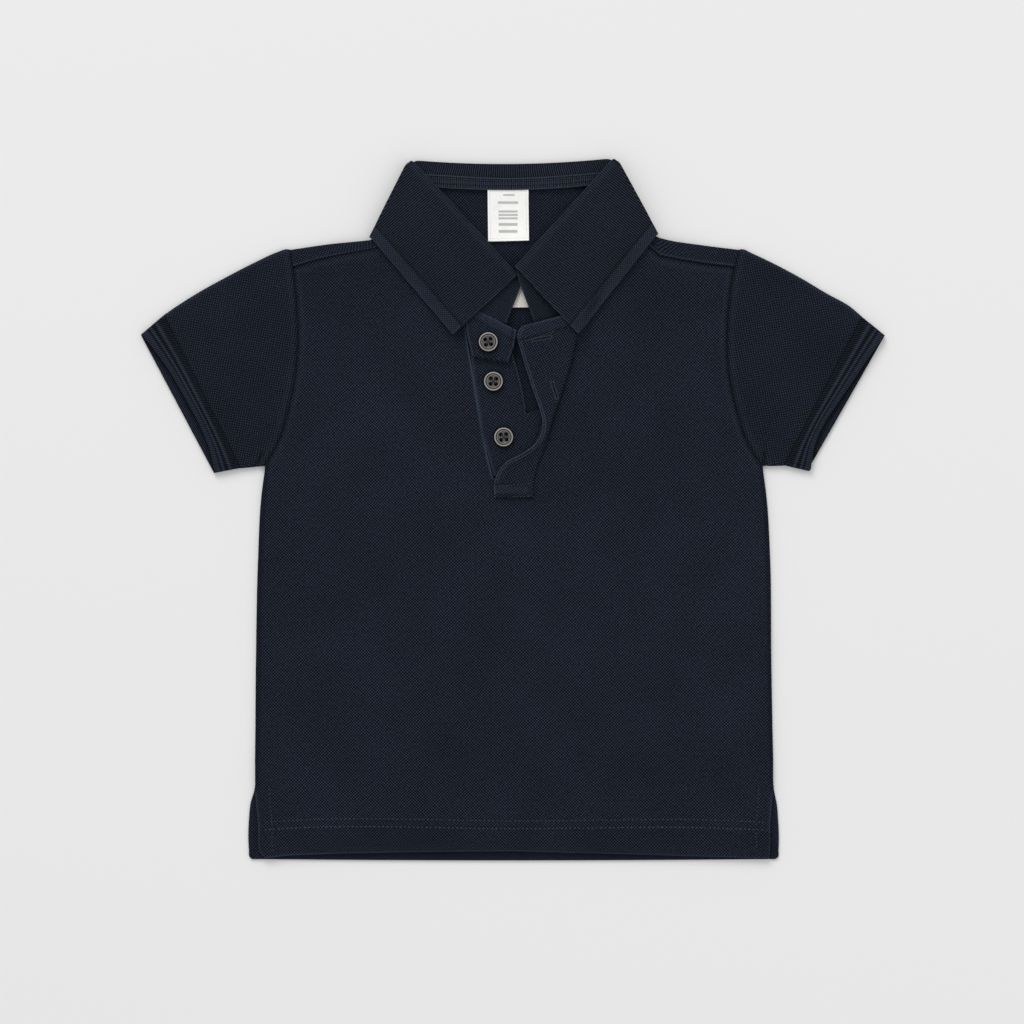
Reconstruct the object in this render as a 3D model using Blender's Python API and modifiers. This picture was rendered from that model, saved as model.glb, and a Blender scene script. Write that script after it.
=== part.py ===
"""Child's polo shirt, laid flat and face up, every cut-and-sewn piece a closed wall of cloth.

Sizes are in millimetres and turned to metres when a mesh is made. +Y runs from the hem to the
collar, +Z is up, and -X is the wearer's right side. The origin is at the middle of the
footprint, on the surface that the garment lies on.
"""

import math
from collections import namedtuple

import bmesh
import bpy
import numpy as np

MM = 0.001

# Driving dimensions
PIQUE = 1.0             # thickness of the body and sleeve cloth
RIB = 1.4               # thickness of the flat-knit collar and cuffs
CUFF_WALL = 1.2         # the cuffs' knit is a little thinner
TAPE = 1.0              # thickness of the neck tape and the labels
GAP = 0.3               # left between pieces that touch
LAYER = PIQUE + GAP     # height from one pique layer to the next
FOLD_SEGMENTS = 4       # faces round a folded edge

BACK_Z = PIQUE / 2                      # middle of the back's wall, on the ground
FALL_LIFT = RIB + GAP                   # the back lies on the collar's fall here
FALL_COVER_BELOW = 9.0                  # and for this far beyond the fall's edge
FALL_LIFT_RUN = 12.0                    # length over which it comes down again in the middle
FALL_LIFT_RUN_SIDE = 32.0               # and beside the neck opening
NECK_HALF_WIDTH = 25.0                  # of the neck opening below the collar's fall
NECK_LIFT_RUN = 34.0                    # the front slopes down from the neck over this
COLLAR_FOLD = 0.875                     # radius of the collar's roll
STAND_RING = 1.55                       # half the height between the stand's two halves
BACK_FALL_Z = RIB / 2                   # the fall at the back, on the ground
BACK_STAND_Z = BACK_FALL_Z + 2 * COLLAR_FOLD
SIDE_STAND_Z = BACK_STAND_Z + 2 * STAND_RING
REST = PIQUE / 2 + 2 * GAP + RIB / 2    # from the front's middle to the leaf lying on it
COLLAR_TOP_SAG = 2.9                    # the fold line at the back dips between its corners
NECK_DIP = 1.0                          # so does the stand's seam
LEAF_BELLY = 0.5                        # the leaf stands off the front between roll and edge

SEW_GAP = 0.5                           # beside curved edges, cut by straight steps
SLEEVE_PUFF = 1.0                       # the sleeve's front stands off its back in the middle
SLEEVE_END_Z = 2.1                      # height of the sleeve's front at the cuff
CUFF_RIDGE = 0.22                       # half the height of the ridges knitted along the cuff
CUFF_RIDGES = 3
CUFF_RIDGE_SHARE = 0.7                  # of the cuff's width, from its seam
CUFF_BELLY = 0.9                        # the cuff's edge bows up between its folds
BAND_CROWN = 0.25                       # the placket's top band bows up between its edges
BAND_ROLL_LENGTH = 2.6                  # length of cloth in the roll along that band

BUTTON_HEIGHT = 2.2
BUTTON_SIDES = 20
HOLE_OFFSET = 1.2                       # of each thread hole from the middle, both ways
HOLE_RADIUS = 0.62

SideRow = namedtuple("SideRow", "y right left")
Point = namedtuple("Point", "x y")

# Outline of the back from the hem to the underarm, both sides
BACK_SIDE = [
    SideRow(-186.0, -137.6, 138.9),
    SideRow(-185.0, -138.9, 140.4),
    SideRow(-180.0, -139.4, 141.0),
    SideRow(-162.7, -139.3, 140.7),
    SideRow(-156.0, -138.6, 139.7),
    SideRow(-148.4, -136.5, 138.2),
    SideRow(-133.0, -136.2, 137.8),
    SideRow(-80.0, -135.7, 136.8),
    SideRow(-27.0, -134.6, 136.2),
    SideRow(8.0, -132.7, 134.1),
    SideRow(22.8, -130.7, 132.1),
]
# Outline of the front, narrower at the vents and just inside the back above them
FRONT_SIDE = [
    SideRow(-184.5, -130.7, 135.2),
    SideRow(-181.8, -133.0, 135.7),
    SideRow(-167.5, -134.3, 136.0),
    SideRow(-149.7, -135.8, 137.3),
    SideRow(-111.8, -135.1, 136.6),
    SideRow(-48.2, -134.4, 135.9),
    SideRow(-5.8, -132.8, 134.4),
    SideRow(22.8, -130.7, 132.1),
]
# Armhole seam from the underarm up to the shoulder fold
ARMHOLE = [
    SideRow(22.8, -130.7, 132.1),
    SideRow(26.6, -128.3, 128.9),
    SideRow(36.6, -123.2, 123.2),
    SideRow(50.9, -118.8, 118.5),
    SideRow(71.5, -114.6, 114.2),
    SideRow(88.5, -113.3, 113.2),
    SideRow(109.7, -114.1, 114.4),
    SideRow(129.8, -116.2, 117.5),
    SideRow(137.5, -117.1, 119.3),
]
# Upper edge of the sleeve from the shoulder to the cuff's corner
SLEEVE_TOP = [
    SideRow(137.5, -117.1, 119.3),
    SideRow(135.6, -125.4, 127.0),
    SideRow(130.9, -135.7, 136.9),
    SideRow(122.4, -152.1, 153.2),
    SideRow(114.0, -167.0, 167.4),
    SideRow(103.0, -185.1, 185.0),
    SideRow(97.0, -192.2, 191.9),
    SideRow(92.8, -196.6, 196.6),
]
HEM_BACK = [Point(-137.6, -186.0), Point(0.0, -185.6), Point(138.9, -186.0)]
HEM_FRONT_RIGHT = [Point(-130.7, -184.5), Point(-120.0, -182.3), Point(-96.5, -181.9), Point(0.3, -180.7)]
HEM_FRONT_LEFT = [Point(135.2, -184.5), Point(99.6, -183.5), Point(57.2, -182.2), Point(0.3, -180.7)]

# Shoulder fold from the armhole to the collar, then up inside the collar to the neck
SHOULDER_RIGHT = [Point(-96.5, 139.9), Point(-79.0, 141.5), Point(-74.6, 142.0), Point(-72.2, 144.6),
                  Point(-66.4, 158.0), Point(-60.1, 171.6)]
SHOULDER_LEFT = [Point(99.6, 140.7), Point(81.0, 142.7), Point(76.2, 143.5), Point(73.6, 146.0),
                 Point(67.4, 159.0), Point(61.0, 172.2)]
# Seam that joins front and back, which lies forward of the shoulder fold
SEAM_RIGHT = [Point(-101.8, 131.6), Point(-86.9, 134.7), Point(-72.6, 137.3),
              Point(-62.0, 149.0), Point(-52.2, 162.6)]
SEAM_LEFT = [Point(99.6, 129.4), Point(89.0, 131.0), Point(77.5, 133.2),
             Point(64.0, 146.0), Point(52.8, 163.0)]
# Back neckline, and the front neckline down to each side of the placket
NECK_BACK = [Point(-30.0, 171.5), Point(0.0, 171.3), Point(30.0, 171.6)]
NECK_RIGHT = [Point(-52.2, 162.6), Point(-44.7, 140.4), Point(-35.1, 121.0), Point(-25.9, 109.6)]
NECK_LEFT = [Point(52.8, 163.0), Point(45.8, 141.4), Point(38.4, 121.1), Point(30.2, 105.2)]
# Edges of the opening that the placket fills, from its lower end to the neckline
SLIT_RIGHT = [Point(0.3, 8.6), Point(-10.4, 16.6), Point(-13.5, 29.2), Point(-17.5, 50.9), Point(-21.9, 76.9),
              Point(-24.6, 93.8), Point(-25.9, 109.6)]
SLIT_LEFT = [Point(0.3, 8.6), Point(11.0, 17.0), Point(12.0, 24.0), Point(13.6, 33.0), Point(17.2, 40.6),
             Point(20.0, 49.8), Point(22.6, 59.4), Point(25.4, 73.7), Point(27.6, 88.0), Point(30.2, 105.2)]

# Cuff: seam with the sleeve, the back layer's straight edge and the front layer's curved edge
Cuff = namedtuple("Cuff", "side seam_top seam_low back_top back_low front_edge")
CUFF_RIGHT = Cuff(-1, Point(-184.4, 102.4), Point(-144.0, 22.4), Point(-196.2, 92.4), Point(-157.6, 19.9),
                  [Point(-195.4, 92.6), Point(-188.6, 84.0), Point(-180.3, 72.4), Point(-172.6, 59.1),
                   Point(-165.8, 46.6), Point(-159.4, 31.3), Point(-156.9, 20.2)])
CUFF_LEFT = Cuff(1, Point(184.9, 101.4), Point(143.6, 24.2), Point(196.2, 92.4), Point(155.5, 20.3),
                 [Point(195.7, 92.0), Point(187.0, 80.0), Point(179.4, 68.9), Point(171.5, 57.2),
                  Point(164.4, 46.6), Point(158.8, 34.2), Point(156.6, 20.6)])

# Collar: fold line, seam and edge of the fall at its front end and at its side corner
Leaf = namedtuple("Leaf", "side fold_front fold_corner edge_front edge_corner seam fold_z seam_z")
LEAF_RIGHT = Leaf(-1, Point(2.4, 123.4), Point(-52.8, 183.7), Point(-31.3, 92.0), Point(-73.6, 142.9),
                  [Point(-58.2, 173.3), Point(-51.3, 162.6), Point(-43.7, 140.6), Point(-34.2, 121.8),
                   Point(-23.4, 109.4), Point(-12.4, 102.4), Point(-3.4, 99.6)], 3.6, 3.4)
LEAF_LEFT = Leaf(1, Point(1.8, 127.2), Point(52.8, 184.6), Point(34.3, 92.2), Point(75.0, 144.5),
                 [Point(58.8, 173.9), Point(51.7, 163.2), Point(44.6, 141.5), Point(37.2, 121.8),
                  Point(29.0, 107.4), Point(20.4, 103.2), Point(10.9, 100.2)], 6.9, 4.2)

# Placket: rows from the lower end to the neck, free edge and rolled edge with their heights
BandRow = namedtuple("BandRow", "free_x free_y free_z roll_x roll_y roll_z curl tuck")
BAND = [
    BandRow(-9.3, 6.2, 0.0, 10.6, 6.2, 0.0, 0.0, 0.4),
    BandRow(-9.6, 13.2, 0.1, 10.5, 13.2, 0.0, 0.0, 0.4),
    BandRow(-8.2, 18.4, 0.5, 11.2, 17.6, 0.0, 0.0, 0.4),
    BandRow(-3.4, 24.6, 1.2, 12.4, 22.6, 0.3, 0.0, 0.4),
    BandRow(4.6, 28.9, 1.8, 13.8, 26.6, 0.8, 0.0, 0.4),
    BandRow(9.4, 32.0, 2.3, 15.6, 30.2, 1.4, 0.25, 0.4),
    BandRow(12.9, 35.6, 2.6, 17.0, 34.6, 1.8, 0.5, 0.15),
    BandRow(15.2, 40.4, 2.6, 18.9, 40.2, 2.1, 0.75, 0.2),
    BandRow(15.9, 45.6, 2.5, 20.6, 45.4, 1.8, 1.0, 1.0),
    BandRow(14.4, 52.4, 2.2, 22.8, 52.2, 1.8, 1.0, 2.4),
    BandRow(11.4, 60.8, 1.9, 25.6, 60.6, 1.8, 1.0, 3.4),
    BandRow(8.2, 70.6, 1.7, 28.7, 70.4, 1.7, 1.0, 4.2),
    BandRow(5.2, 80.4, 1.5, 31.4, 80.2, 1.8, 1.0, 4.6),
    BandRow(2.6, 91.4, 1.2, 33.6, 91.0, 1.9, 1.0, 4.0),
    BandRow(5.0, 96.2, 0.6, 32.6, 103.6, 2.1, 1.0, 3.4),
]
StandRow = namedtuple("StandRow", "seam_x seam_y free_x free_y z")
BUTTON_STAND = [
    StandRow(-9.9, 17.4, 9.8, 17.4, 0.0),
    StandRow(-13.1, 29.2, 9.9, 29.2, 0.0),
    StandRow(-15.6, 42.0, 9.0, 42.0, 0.0),
    StandRow(-18.4, 57.0, 6.2, 57.0, 0.0),
    StandRow(-20.6, 70.0, 3.3, 70.0, 0.0),
]
# Fold in the button stand: one layer runs up, one back down, and the top one up to the neck
STAND_LOWER_END = StandRow(-22.6, 86.6, -0.6, 83.6, 0.0)
STAND_FOLD_EDGE = StandRow(-20.6, 81.4, -2.3, 78.0, 2 * LAYER)
STAND_TOP_MIDDLE = StandRow(-23.2, 93.0, 0.6, 86.2, 2 * LAYER - 0.2)
STAND_TOP_END = StandRow(-23.4, 107.0, 2.0, 93.6, 0.3)

Button = namedtuple("Button", "name x y lift")
BUTTONS = [
    Button("button_1", -12.7, 88.6, 2 * LAYER),
    Button("button_2", -10.0, 67.7, 0.0),
    Button("button_3", -4.5, 38.1, 0.0),
]

NECK_LABEL = [Point(-13.2, 168.9), Point(8.4, 169.1), Point(8.7, 141.5), Point(-12.9, 141.0)]
CARE_LABEL = [Point(-11.0, 119.0), Point(19.0, 119.0), Point(19.0, 107.0), Point(-11.0, 107.0)]
TAPE_UPPER = [Point(-52.0, 177.9), Point(0.0, 175.4), Point(52.4, 178.8)]
TAPE_LOWER = [Point(-52.0, 171.4), Point(-14.0, 169.5), Point(9.0, 169.6), Point(52.4, 172.6)]

# How finely each piece is divided
BODY_ROWS_LOW = 13      # below the underarm
BODY_ROWS_HIGH = 12     # along the armhole
SHOULDER_COLUMNS = 5    # from the armhole to the collar
COLLAR_COLUMNS = 4      # inside the collar
NECK_COLUMNS = 10
FRONT_NECK_COLUMNS = 7
FLAP_ROWS = 3           # from the shoulder fold to the forward seam
SLEEVE_ROWS = BODY_ROWS_HIGH
SLEEVE_COLUMNS = 8
CUFF_COLUMNS = 10
CUFF_ROWS = 8
LEAF_STATIONS = 13
WRAP_STATIONS = 7
BACK_STATIONS = 12
STAND_STEPS = 3
FALL_STEPS = 7
BAND_COLUMNS = 6
STAND_COLUMNS = 4
TAPE_COLUMNS = 12
LABEL_COLUMNS = 4


# ---------------------------------------------------------------- lines and patches


def smooth_line(points, count):
    """Evenly spaced points on a smooth curve through the given ones."""
    knots = np.array([tuple(p) for p in points], dtype=float)
    step = np.linalg.norm(np.diff(knots, axis=0), axis=1)
    t = np.concatenate([[0.0], np.cumsum(step)])
    slope = np.zeros_like(knots)
    if len(knots) > 2:
        before = np.diff(knots, axis=0)[:-1] / step[:-1, None]
        after = np.diff(knots, axis=0)[1:] / step[1:, None]
        share = (step[1:] / (step[1:] + step[:-1]))[:, None]
        slope[1:-1] = before * share + after * (1 - share)
    slope[0] = (knots[1] - knots[0]) / step[0]
    slope[-1] = (knots[-1] - knots[-2]) / step[-1]
    line = []
    for at in np.linspace(0.0, t[-1], count):
        k = min(int(np.searchsorted(t, at, side="right")) - 1, len(knots) - 2)
        span = t[k + 1] - t[k]
        w = (at - t[k]) / span
        line.append(
            knots[k] * (1 + 2 * w) * (1 - w) ** 2
            + slope[k] * span * w * (1 - w) ** 2
            + knots[k + 1] * w * w * (3 - 2 * w)
            + slope[k + 1] * span * w * w * (w - 1)
        )
    return np.array(line)


def side_points(rows, side):
    return [Point(row.right if side < 0 else row.left, row.y) for row in rows]


def joined(*lines):
    """One line out of several that share their end points."""
    parts = [lines[0]] + [line[1:] for line in lines[1:]]
    return np.concatenate(parts)


def patch(bottom, top, start, end):
    """Flat grid of points between four border lines, row by row from bottom to top."""
    rows = len(start)
    columns = len(bottom)
    u = np.linspace(0.0, 1.0, columns)[None, :, None]
    v = np.linspace(0.0, 1.0, rows)[:, None, None]
    across = (1 - v) * bottom[None] + v * top[None]
    along = (1 - u) * start[:, None] + u * end[:, None]
    corners = (
        (1 - u) * (1 - v) * bottom[0]
        + u * (1 - v) * bottom[-1]
        + (1 - u) * v * top[0]
        + u * v * top[-1]
    )
    return across + along - corners


def ease(w):
    w = min(max(w, 0.0), 1.0)
    return w * w * (3 - 2 * w)


def distance_to_line(x, y, line):
    """Shortest distance from a point to a run of straight segments."""
    start = line[:-1]
    run = line[1:] - start
    to_point = np.array([x, y]) - start
    w = np.clip((to_point * run).sum(1) / (run * run).sum(1), 0.0, 1.0)
    return float(np.linalg.norm(to_point - run * w[:, None], axis=1).min())


# ---------------------------------------------------------------- heights of the layers


FALL_OUTLINE = np.array([
    LEAF_RIGHT.fold_corner, LEAF_RIGHT.edge_corner, LEAF_LEFT.edge_corner, LEAF_LEFT.fold_corner
])
NECKLINE = joined(
    smooth_line(LEAF_RIGHT.seam, 12),
    np.array([LEAF_LEFT.seam[-1]]),
    smooth_line(LEAF_LEFT.seam, 12)[::-1],
)


def fall_cover(x, y):
    """1 over the part of the collar that lies under the back, down to 0 a little way off."""
    inside = False
    low_left, low_right = FALL_OUTLINE[1], FALL_OUTLINE[2]
    if y >= low_left[1] - FALL_COVER_BELOW:
        share = (y - low_left[1]) / (LEAF_RIGHT.fold_corner.y - low_left[1])
        edge_right = low_left[0] + share * (LEAF_RIGHT.fold_corner.x - low_left[0])
        edge_left = low_right[0] + share * (LEAF_LEFT.fold_corner.x - low_right[0])
        inside = edge_right - 4.0 <= x <= edge_left + 4.0
    if inside:
        return 1.0
    off = max(low_left[1] - y - FALL_COVER_BELOW, low_left[0] - 4.0 - x, x - low_right[0] - 4.0, 0.0)
    beside_neck = ease((abs(x) - NECK_HALF_WIDTH) / NECK_HALF_WIDTH)
    run = FALL_LIFT_RUN + (FALL_LIFT_RUN_SIDE - FALL_LIFT_RUN) * beside_neck
    return ease(1.0 - off / run)


def back_height(x, y):
    return BACK_Z + FALL_LIFT * fall_cover(x, y)


def front_height(x, y):
    """Middle of the front's wall: one layer up, with slack waves, and lifted at the neck."""
    near = 1.0 - distance_to_line(x, y, NECKLINE) / NECK_LIFT_RUN
    side_lift = 1.7 if y > 120.0 else 1.7 + (120.0 - y) / 20.0 * (0.3 if x > 0 else -0.6)
    lift = max(side_lift, 1.0) * ease(near)
    chest = math.exp(-((y - 20.0) / 70.0) ** 2) * math.exp(-(x / 95.0) ** 2)
    slack = 0.28 + 0.25 * math.sin(x / 31.0 + y / 57.0) * math.cos(y / 43.0 - x / 90.0)
    return back_height(x, y) + LAYER + lift + 0.5 * chest + max(slack, 0.12) * waves_fade(x, y)


def waves_fade(x, y):
    """Slack dies out towards the side seams and the hem."""
    side = ease((132.0 - abs(x)) / 25.0)
    hem = ease((y + 186.0) / 30.0)
    return side * hem


# ---------------------------------------------------------------- meshes


def material(name, colour, roughness, metallic=0.0):
    finish = bpy.data.materials.new(name)
    finish.use_nodes = True
    shader = finish.node_tree.nodes["Principled BSDF"]
    shader.inputs["Base Color"].default_value = (*colour, 1.0)
    shader.inputs["Roughness"].default_value = roughness
    shader.inputs["Metallic"].default_value = metallic
    finish.diffuse_color = (*colour, 1.0)
    return finish


def add_part(name, mesh, finish):
    part = bpy.data.objects.new(name, mesh)
    mesh.materials.append(finish)
    collection.objects.link(part)
    return part


def sheet(name, grids, thickness, finish, ring=False):
    """Cloth wall on grids of points; with ring set, each row closes on itself."""
    cloth = bmesh.new()
    for grid in grids:
        lines = [[cloth.verts.new([c * MM for c in point]) for point in row] for row in grid]
        for low, high in zip(lines, lines[1:]):
            count = len(low)
            for k in range(count if ring else count - 1):
                after = (k + 1) % count
                cloth.faces.new((low[k], low[after], high[after], high[k]))
    bmesh.ops.remove_doubles(cloth, verts=cloth.verts, dist=0.00001)
    bmesh.ops.recalc_face_normals(cloth, faces=cloth.faces)
    mesh = bpy.data.meshes.new(name)
    cloth.to_mesh(mesh)
    cloth.free()
    mesh.shade_smooth()
    part = add_part(name, mesh, finish)
    wall = part.modifiers.new("wall", "SOLIDIFY")
    wall.thickness = thickness * MM
    wall.offset = 0.0
    wall.use_even_offset = True
    wall.use_quality_normals = True
    return part


# ---------------------------------------------------------------- body


def body_edge(side_rows, side):
    """Edge line of a panel from the hem to the shoulder end of the armhole."""
    low = smooth_line(side_points(side_rows, side), BODY_ROWS_LOW + 1)
    high = smooth_line(side_points(ARMHOLE, side), BODY_ROWS_HIGH + 1)
    high[0] = low[-1]
    return joined(low, high)


def raised(plan, height):
    return [[(x, y, height(x, y)) for x, y in row] for row in plan]


def seam_line(side):
    """Forward shoulder seam, which starts one step below the fold on the armhole."""
    start = smooth_line(side_points(ARMHOLE, side), BODY_ROWS_HIGH + 1)[-2]
    rows = SEAM_RIGHT if side < 0 else SEAM_LEFT
    return joined(
        smooth_line([Point(*start)] + rows[:-2], SHOULDER_COLUMNS + 1),
        smooth_line(rows[-3:], COLLAR_COLUMNS + 1),
    )


def shoulder_line(side):
    """Middle of the wall along the shoulder fold, which lies inside the outline."""
    rows = SHOULDER_RIGHT if side < 0 else SHOULDER_LEFT
    start = side_points(ARMHOLE, side)[-1]
    return joined(
        smooth_line([start] + rows[:3], SHOULDER_COLUMNS + 1),
        smooth_line(rows[2:], COLLAR_COLUMNS + 1),
    )


def make_back():
    right = shoulder_line(-1)
    left = shoulder_line(1)
    inset_right = [inward(right, k, 1) for k in range(len(right))]
    inset_left = [inward(left, k, -1) for k in range(len(left))]
    neck = smooth_line([Point(*inset_right[-1])] + NECK_BACK + [Point(*inset_left[-1])], NECK_COLUMNS + 1)
    top = joined(np.array(inset_right), neck, np.array(inset_left)[::-1])
    start = body_edge(BACK_SIDE, -1)
    end = body_edge(BACK_SIDE, 1)
    start[-1] = top[0]
    end[-1] = top[-1]
    bottom = smooth_line(HEM_BACK, len(top))
    plan = patch(bottom, top, start, end)
    grids = [raised(plan, back_height)]
    for side, fold, inset in ((-1, right, inset_right), (1, left, inset_left)):
        grids.append(shoulder_flap(inset, fold, seam_line(side)))
    return sheet("back", grids, PIQUE, NAVY)


def fold_radius(x, y):
    return (front_height(x, y) - back_height(x, y)) / 2


def inward(line, k, turn):
    """Where the fold's curve starts: its radius and half a wall inside the outline."""
    before = line[max(k - 1, 0)]
    after = line[min(k + 1, len(line) - 1)]
    run = (after - before) / np.linalg.norm(after - before)
    normal = np.array([run[1], -run[0]]) * turn
    return line[k] + normal * (fold_radius(*line[k]) + PIQUE / 2)


def shoulder_flap(inset, fold, seam):
    """Half circle round the shoulder fold, then the strip down to the seam on the front."""
    rows = []
    for step in range(FOLD_SEGMENTS + 1):
        angle = math.pi * step / FOLD_SEGMENTS
        row = []
        for start, outer in zip(inset, fold):
            radius = fold_radius(*outer)
            out = (outer - start) / np.linalg.norm(outer - start)
            x, y = start + out * radius * math.sin(angle)
            low = back_height(*start)
            row.append((x, y, low + radius * (1 - math.cos(angle))))
        rows.append(row)
    for step in range(1, FLAP_ROWS + 1):
        share = step / FLAP_ROWS
        row = []
        for start, low_edge in zip(inset, seam):
            x, y = start * (1 - share) + (low_edge + np.array([0.0, GAP])) * share
            on_fold = back_height(*start) + 2 * fold_radius(*start)
            row.append((x, y, on_fold * (1 - share) + front_height(x, y) * share))
        rows.append(row)
    return rows


def make_front():
    grids = []
    for side in (-1, 1):
        seam = seam_line(side)
        neck = smooth_line(NECK_RIGHT if side < 0 else NECK_LEFT, FRONT_NECK_COLUMNS + 1)
        top = joined(seam, neck)
        hem = smooth_line(HEM_FRONT_RIGHT if side < 0 else HEM_FRONT_LEFT, len(top))
        slit_points = SLIT_RIGHT if side < 0 else SLIT_LEFT
        slit = joined(
            smooth_line(slit_points[:2], 2),
            smooth_line(slit_points[1:], BODY_ROWS_HIGH - 1),
        )
        centre = smooth_line([hem[-1], slit[0]], BODY_ROWS_LOW + 1)
        start = body_edge(FRONT_SIDE, side)[:-1]
        end = joined(centre, slit)
        end[-1] = top[-1]
        plan = patch(hem, top, start, end)
        grids.append(raised(plan, front_height))
    return sheet("front", grids, PIQUE, NAVY)


# ---------------------------------------------------------------- sleeves and cuffs


def flat_ring(front_line, back_line, wall):
    """Closed ring of points round a flattened tube, from its low end up the front and back down."""
    front = [np.array(p) for p in front_line]
    back = [np.array(p) for p in back_line]
    bends = []
    for end, beside in ((-1, -2), (0, 1)):
        radius = (front[end][2] - back[end][2]) / 2
        out = front[end][:2] - front[beside][:2]
        out = out / np.linalg.norm(out)
        for line in (front, back):
            line[end][:2] -= out * (radius + wall / 2)
        bend = []
        for step in range(1, FOLD_SEGMENTS):
            angle = math.pi * step / FOLD_SEGMENTS
            point = front[end] + (back[end] - front[end]) * (1 - math.cos(angle)) / 2
            point[:2] += out * radius * math.sin(angle)
            bend.append(point)
        bends.append(bend)
    high, low = bends
    return front + high + back[::-1] + low[::-1]


def beside(line, side, amount):
    """The line moved towards the given side in X, square to itself."""
    run = np.gradient(line, axis=0)
    normal = np.stack([run[:, 1], -run[:, 0]], axis=1)
    normal /= np.linalg.norm(normal, axis=1)[:, None]
    normal *= np.sign(normal[:, :1]) * side
    return line + normal * amount


def make_sleeve(name, cuff):
    side = cuff.side
    start = beside(smooth_line(side_points(ARMHOLE, side), SLEEVE_ROWS + 1), side, SEW_GAP)
    top_rows = [row for row in side_points(SLEEVE_TOP, side) if row.y > cuff.seam_top.y + 3.0]
    end = smooth_line([cuff.seam_low, cuff.seam_top], SLEEVE_ROWS + 1)
    top = smooth_line([Point(*start[-1])] + top_rows[1:] + [cuff.seam_top], SLEEVE_COLUMNS + 1)
    bottom = smooth_line([Point(*start[0]), cuff.seam_low], SLEEVE_COLUMNS + 1)
    plan = patch(bottom, top, start, end)
    rings = []
    for column in range(SLEEVE_COLUMNS + 1):
        c = column / SLEEVE_COLUMNS
        front_line, back_line = [], []
        for row in range(SLEEVE_ROWS + 1):
            x, y = plan[row, column]
            w = row / SLEEVE_ROWS
            at_armhole = front_height(*start[row])
            puff = SLEEVE_PUFF * math.sin(math.pi * c) * math.sin(math.pi * w)
            front_line.append((x, y, at_armhole * (1 - c) + SLEEVE_END_Z * c + puff))
            back_line.append((x, y, BACK_Z))
        rings.append(flat_ring(front_line, back_line, PIQUE))
    return sheet(name, [rings], PIQUE, NAVY_SLEEVE, ring=True)


def make_cuff(name, cuff):
    side = cuff.side
    gap = np.array([side * SEW_GAP, -SEW_GAP / 2])
    seam = smooth_line([cuff.seam_low, cuff.seam_top], CUFF_ROWS + 1) + gap
    back_edge = smooth_line([cuff.back_low, cuff.back_top], CUFF_ROWS + 1)
    front_edge = smooth_line(cuff.front_edge, CUFF_ROWS + 1)[::-1]
    rings = []
    for column in range(CUFF_COLUMNS + 1):
        c = column / CUFF_COLUMNS
        front_line, back_line = [], []
        for row in range(CUFF_ROWS + 1):
            w = row / CUFF_ROWS
            fx, fy = seam[row] * (1 - c) + front_edge[row] * c
            bx, by = seam[row] * (1 - c) + back_edge[row] * c
            ridge = CUFF_RIDGE * (1 - math.cos(2 * math.pi * CUFF_RIDGES * min(c / CUFF_RIDGE_SHARE, 1.0)))
            away_from_folds = min(1.0, 10 * w * (1 - w))
            belly = CUFF_BELLY * math.sin(math.pi * w) * c
            front_line.append((fx, fy, RIB / 2 + RIB + GAP + ridge * away_from_folds + belly))
            back_line.append((bx, by, RIB / 2))
        rings.append(flat_ring(front_line, back_line, RIB))
    return sheet(name, [rings], CUFF_WALL, NAVY_RIB, ring=True)


# ---------------------------------------------------------------- collar


def placket_cover(x, y):
    """Extra height of the placket under the leaves' tips."""
    if x > 0:
        return 2.9 * ease((43.0 - x) / 8.0) * ease((124.0 - y) / 12.0)
    return 2.3 * ease((x + 36.0) / 9.0) * ease((122.0 - y) / 12.0)


def collar_station(fold, seam, edge, out, turn, stand_z, seam_z, on_front):
    """One section of the collar strip: seam, stand, roll, fall, edge.

    turn runs from -1 on the back half to 1 on the front half, through 0 at the side crease.
    """
    fold, seam, edge = (np.array(p, dtype=float) for p in (fold, seam, edge))
    stand_dir = (seam - fold) / np.linalg.norm(seam - fold)
    fall_dir = (edge - fold) / np.linalg.norm(edge - fold)
    roll_dir = stand_dir + fall_dir
    roll_dir = roll_dir / np.linalg.norm(roll_dir)
    start = fold + roll_dir * COLLAR_FOLD
    stand_width = np.linalg.norm(seam - fold)
    fall_width = np.linalg.norm(edge - fold)
    angle = turn * math.pi / 2

    def place(plan, top, bottom):
        radius = (top - bottom) / 2
        x, y = plan + out * radius * math.cos(angle)
        return x, y, (top + bottom) / 2 + radius * math.sin(angle)

    points = []
    for step in range(STAND_STEPS):
        share = 1.0 - step / STAND_STEPS
        top = stand_z + (seam_z - stand_z) * share
        points.append(place(start + (seam - start) * share, top, BACK_STAND_Z))
    for step in range(FOLD_SEGMENTS + 1):
        bend = math.pi * step / FOLD_SEGMENTS
        plan = start - roll_dir * COLLAR_FOLD * math.sin(bend)
        rise = COLLAR_FOLD * (1 - math.cos(bend))
        points.append(place(plan, stand_z + rise, BACK_STAND_Z - rise))
    fold_top = stand_z + 2 * COLLAR_FOLD
    for step in range(1, FALL_STEPS + 1):
        share = step / FALL_STEPS
        plan = start + (edge - start) * share
        settle = ease((share * fall_width - stand_width - 3.0) / (fall_width - stand_width - 6.0))
        x, y = plan
        rest = front_height(x, y) + REST + placket_cover(x, y) + LEAF_BELLY * math.sin(math.pi * settle)
        top = fold_top * (1 - settle) + rest * settle if on_front else fold_top
        points.append(place(plan, top, BACK_FALL_Z))
    return points


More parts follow.
